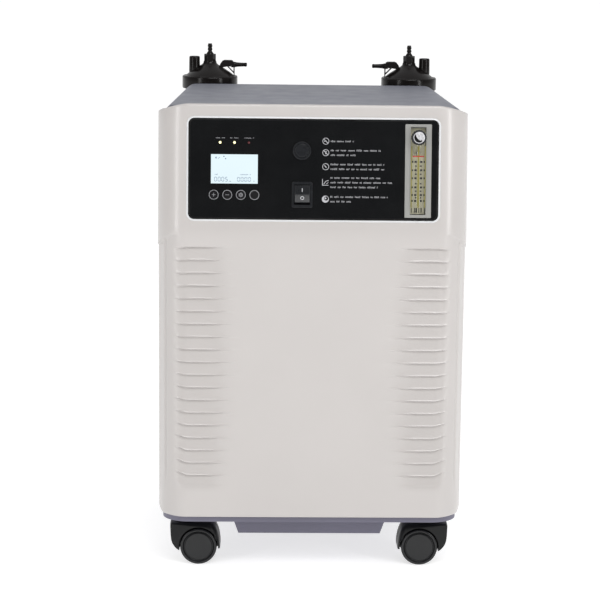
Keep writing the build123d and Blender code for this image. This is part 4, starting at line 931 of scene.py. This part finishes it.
def domed_plate(outline, covered, half):
    """An upright plate from -half to half, drawn in near both faces along its first covered points."""
    layers = [(0.0, 5.2), (0.6, 4.0), (2.0, 2.4), (4.6, 0.9), (8.5, 0.0)]
    near = [(-half + step, inset) for step, inset in layers]
    layers = near + [(half - step, inset) for step, inset in reversed(layers)]
    vertices = []
    for across, inset in layers:
        for index, (x, z) in enumerate(outline):
            share = smooth(0.0, 12.0, x) if index < covered else 0.0
            away = Vector((x, z)).normalized() if (x or z) else Vector((0, 0))
            edge = 0.18 if index < covered else 0.0
            vertices.append((x - away.x * inset * max(share * smooth(0.0, 14.0, z), edge),
                             z - away.y * inset * max(share * smooth(0.0, 14.0, z), edge), across))
    count = len(outline)
    faces = grid_faces(len(layers), count, False, True)
    for start, turn in ((0, -1), ((len(layers) - 1) * count, 1)):
        flat = [Vector((vertices[start + i][0], vertices[start + i][1], 0)) for i in range(count)]
        for a, b, c in tessellate_polygon([flat]):
            area = (flat[b] - flat[a]).cross(flat[c] - flat[a]).z
            if area * turn < 0:
                b, c = c, b
            faces.append((start + a, start + b, start + c))
    return vertices, faces


def make_caster(place, hand):
    """The hood, with its web between the wheels, and the pair of wheels."""
    low, high = cad("caster_wheels_" + place)
    centre = (low + high) / 2
    radius = (high.z - low.z) / 2
    top = cad("caster_hood_" + place)[1].z - 3.0 - centre.z
    turn = Matrix() if hand < 0 else Matrix.Diagonal((-1, 1, 1, 1))
    upright = Matrix(((1, 0, 0, 0), (0, 0, 1, 0), (0, 1, 0, 0), (0, 0, 0, 1)))
    where = Matrix.Translation(centre) @ turn @ upright
    outline = hood_outline(radius, top)
    hood = Shape().add(*domed_plate(outline, len(outline) - 29, 22))
    web = [(x, z) for x, z in outline[:20]] + [(-16, -9), (0, -11), (17, -8)]
    hood.add(*plate(web, -5.3, 5.3))
    shell = hood.piece("hood_shell_" + place, CASTER_BLACK, "caster_" + place, "caster_black",
                       where=where, bevel=0.9, sharp=40.0)
    if hand < 0:
        # The placing matrix mirrors this side's hoods, so their faces are turned back.
        shell.data.flip_normals()
    neck = [(0, top - 2), (12.5, top - 2), (12.5, top), (11.4, top + 0.7), (11.0, top + 3.0), (0, top + 3.0)]
    stem = Matrix.Translation((centre.x + hand * 20.0, centre.y, centre.z))
    collar = make_piece("hood_neck_" + place, *lathe(neck, 48), CASTER_BLACK, "caster_" + place,
                        "caster_black", where=stem)
    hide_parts("caster_hood_" + place)
    wheels = Shape()
    width, half = 17.0, high.y - centre.y
    face = [(0, half - 1.1), (8, half - 1.0), (15.2, half - 0.55), (16.6, half - 0.75), (17.2, half - 1.7),
            (18.0, half - 1.9), (18.9, half - 1.2), (19.6, half - 0.15), (20.6, half), (21.4, half - 0.1),
            (22.2, half - 0.6), (radius - 0.1, half - 1.5), (radius, half - 2.8),
            (radius, half - width + 2.8), (radius - 0.3, half - width + 1.4),
            (radius - 1.3, half - width + 0.3), (radius - 2.6, half - width),
            (6, half - width), (0, half - width)]
    for way in (-1, 1):
        side = Matrix.Rotation(math.pi / 2 * way, 4, "X")
        wheels.add(*lathe([(r, z) for r, z in reversed(face)], 96), side)
    pair = wheels.piece("wheel_pair_" + place, WHEEL_BLACK, "wheels_" + place, "wheel_black",
                        where=Matrix.Translation(centre), sharp=40.0)
    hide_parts("caster_wheels_" + place)


# ---- Building ----


def finish_cad_nodes():
    """Give every CAD node that stays in view its material."""
    finishes = {
        "rear_housing": GREY, "control_panel": PANEL, "lcd_screen": DISPLAY,
        "status_leds": LAMP, "breaker_bezel": TRIM_BLACK, "breaker_button": TRIM_BLACK,
        "rocker_bezel": TRIM_BLACK, "flowmeter_plate": PLATE, "flowmeter_block": ACRYLIC,
        "flowmeter_float": STEEL, "flowmeter_fittings": BRASS, "bottle_holders": CASTER_BLACK,
        "caster_stems": STEEL, "filter_door": GREY, "filter_sponge": FOAM, "power_inlet": TRIM_BLACK,
        "cover_screws": STEEL, "equipment_shelf": SHEET, "compressor_body": ALLOY, "compressor_heads": ALLOY,
        "crankshaft": STEEL, "isolator_mounts": RUBBER, "sieve_beds": ALLOY, "product_tank": ALLOY,
        "valve_manifold": ALLOY, "solenoid_valves": TRIM_BLACK, "cooling_coil": COPPER,
        "fan_frame": TRIM_BLACK, "fan_rotor": TRIM_BLACK, "intake_filter": FILTER, "circuit_board": BOARD,
        "internal_hoses": HOSE,
    }
    starts = {"key_": KEY_BLACK, "humidifier_bottle_": BOTTLE, "dip_tube_": DIP, "caster_axle_": STEEL}
    for name, node in NODES.items():
        finish = finishes.get(name)
        for start, other in starts.items():
            if name.startswith(start):
                finish = other
        if finish:
            node.data.materials.clear()
            node.data.materials.append(finish)


def make_camera():
    data = bpy.data.cameras.new("camera")
    camera = bpy.data.objects.new("camera", data)
    bpy.context.scene.collection.objects.link(camera)
    yaw, pitch, roll = math.radians(1.753), math.radians(10.328), math.radians(0.746)
    ahead = Vector((math.sin(yaw), math.cos(yaw), 0))
    right = Vector((math.cos(yaw), -math.sin(yaw), 0))
    up = Vector((0, 0, 1))
    view = ahead * math.cos(pitch) - up * math.sin(pitch)
    top = up * math.cos(pitch) + ahead * math.sin(pitch)
    right, top = right * math.cos(roll) + top * math.sin(roll), top * math.cos(roll) - right * math.sin(roll)
    turned = Matrix((right, top, -view)).transposed().to_4x4()
    camera.matrix_world = Matrix.Translation((-0.0561, -2.6880, 0.7979)) @ turned
    data.sensor_width = 36.0
    data.lens = 126.89
    data.shift_x = -0.049
    bpy.context.scene.camera = camera


def area_light(name, place, target, size, power, colour=(1, 1, 1)):
    data = bpy.data.lights.new(name, "AREA")
    data.shape = "RECTANGLE"
    data.size, data.size_y = size
    data.energy = power
    data.color = colour
    light = bpy.data.objects.new(name, data)
    bpy.context.scene.collection.objects.link(light)
    light.location = place
    light.rotation_mode = "QUATERNION"
    light.rotation_quaternion = (Vector(target) - Vector(place)).to_track_quat("-Z", "Y")


def make_studio():
    made, tree, shader = material("studio_floor", (0.60, 0.60, 0.60), 0.8)
    soft = add_noise(tree, 3.0)
    tone = add_ramp(tree, soft.outputs["Fac"], [(0.3, 0.59), (0.7, 0.61)])
    shader.inputs["Emission Color"].default_value = (1, 1, 1, 1)
    shader.inputs["Emission Strength"].default_value = 0.66
    tree.links.new(tone.outputs["Color"], shader.inputs["Base Color"])
    mesh = bpy.data.meshes.new("floor")
    mesh.from_pydata([(-40, -40, 0), (40, -40, 0), (40, 40, 0), (-40, 40, 0)], [], [(0, 1, 2, 3)])
    mesh.materials.append(made)
    floor = bpy.data.objects.new("floor", mesh)
    bpy.context.scene.collection.objects.link(floor)
    world = bpy.data.worlds.new("studio")
    world.use_nodes = True
    tree = world.node_tree
    place = tree.nodes.new("ShaderNodeTexCoord")
    towards = tree.nodes.new("ShaderNodeVectorMath")
    towards.operation = "DOT_PRODUCT"
    towards.inputs[1].default_value = (0, 0.75, 0.66)
    tree.links.new(place.outputs["Generated"], towards.inputs[0])
    share = tree.nodes.new("ShaderNodeMapRange")
    share.inputs["From Min"].default_value = -1.0
    tree.links.new(towards.outputs["Value"], share.inputs["Value"])
    tone = add_ramp(tree, share.outputs["Result"], [(0.12, 0.16), (0.5, 0.5), (0.72, 0.97), (0.84, 1.0)])
    back = tree.nodes["Background"]
    tree.links.new(tone.outputs["Color"], back.inputs["Color"])
    back.inputs["Strength"].default_value = 0.70
    bpy.context.scene.world = world
    bpy.context.scene.view_settings.view_transform = "Standard"
    area_light("key_light", (0.5, -1.9, 2.3), (0, 0, 0.35), (1.6, 0.9), 27)
    area_light("left_light", (-1.9, -1.9, 1.2), (0, 0, 0.35), (0.45, 1.8), 14)
    area_light("right_light", (2.0, -1.9, 1.2), (0, 0, 0.35), (0.45, 1.8), 18)


make_camera()
make_studio()
finish_cad_nodes()
make_front_cover()
make_base()
make_panel_trim()
make_panel_print()
make_key_marks()
make_display_marks()
make_rocker()
make_meter_scale()
make_knob()
for way in (-1, 1):
    make_cap(way)
    make_inlet(way)
    for end in ("front", "rear"):
        make_caster(end + ("_left" if way < 0 else "_right"), way)
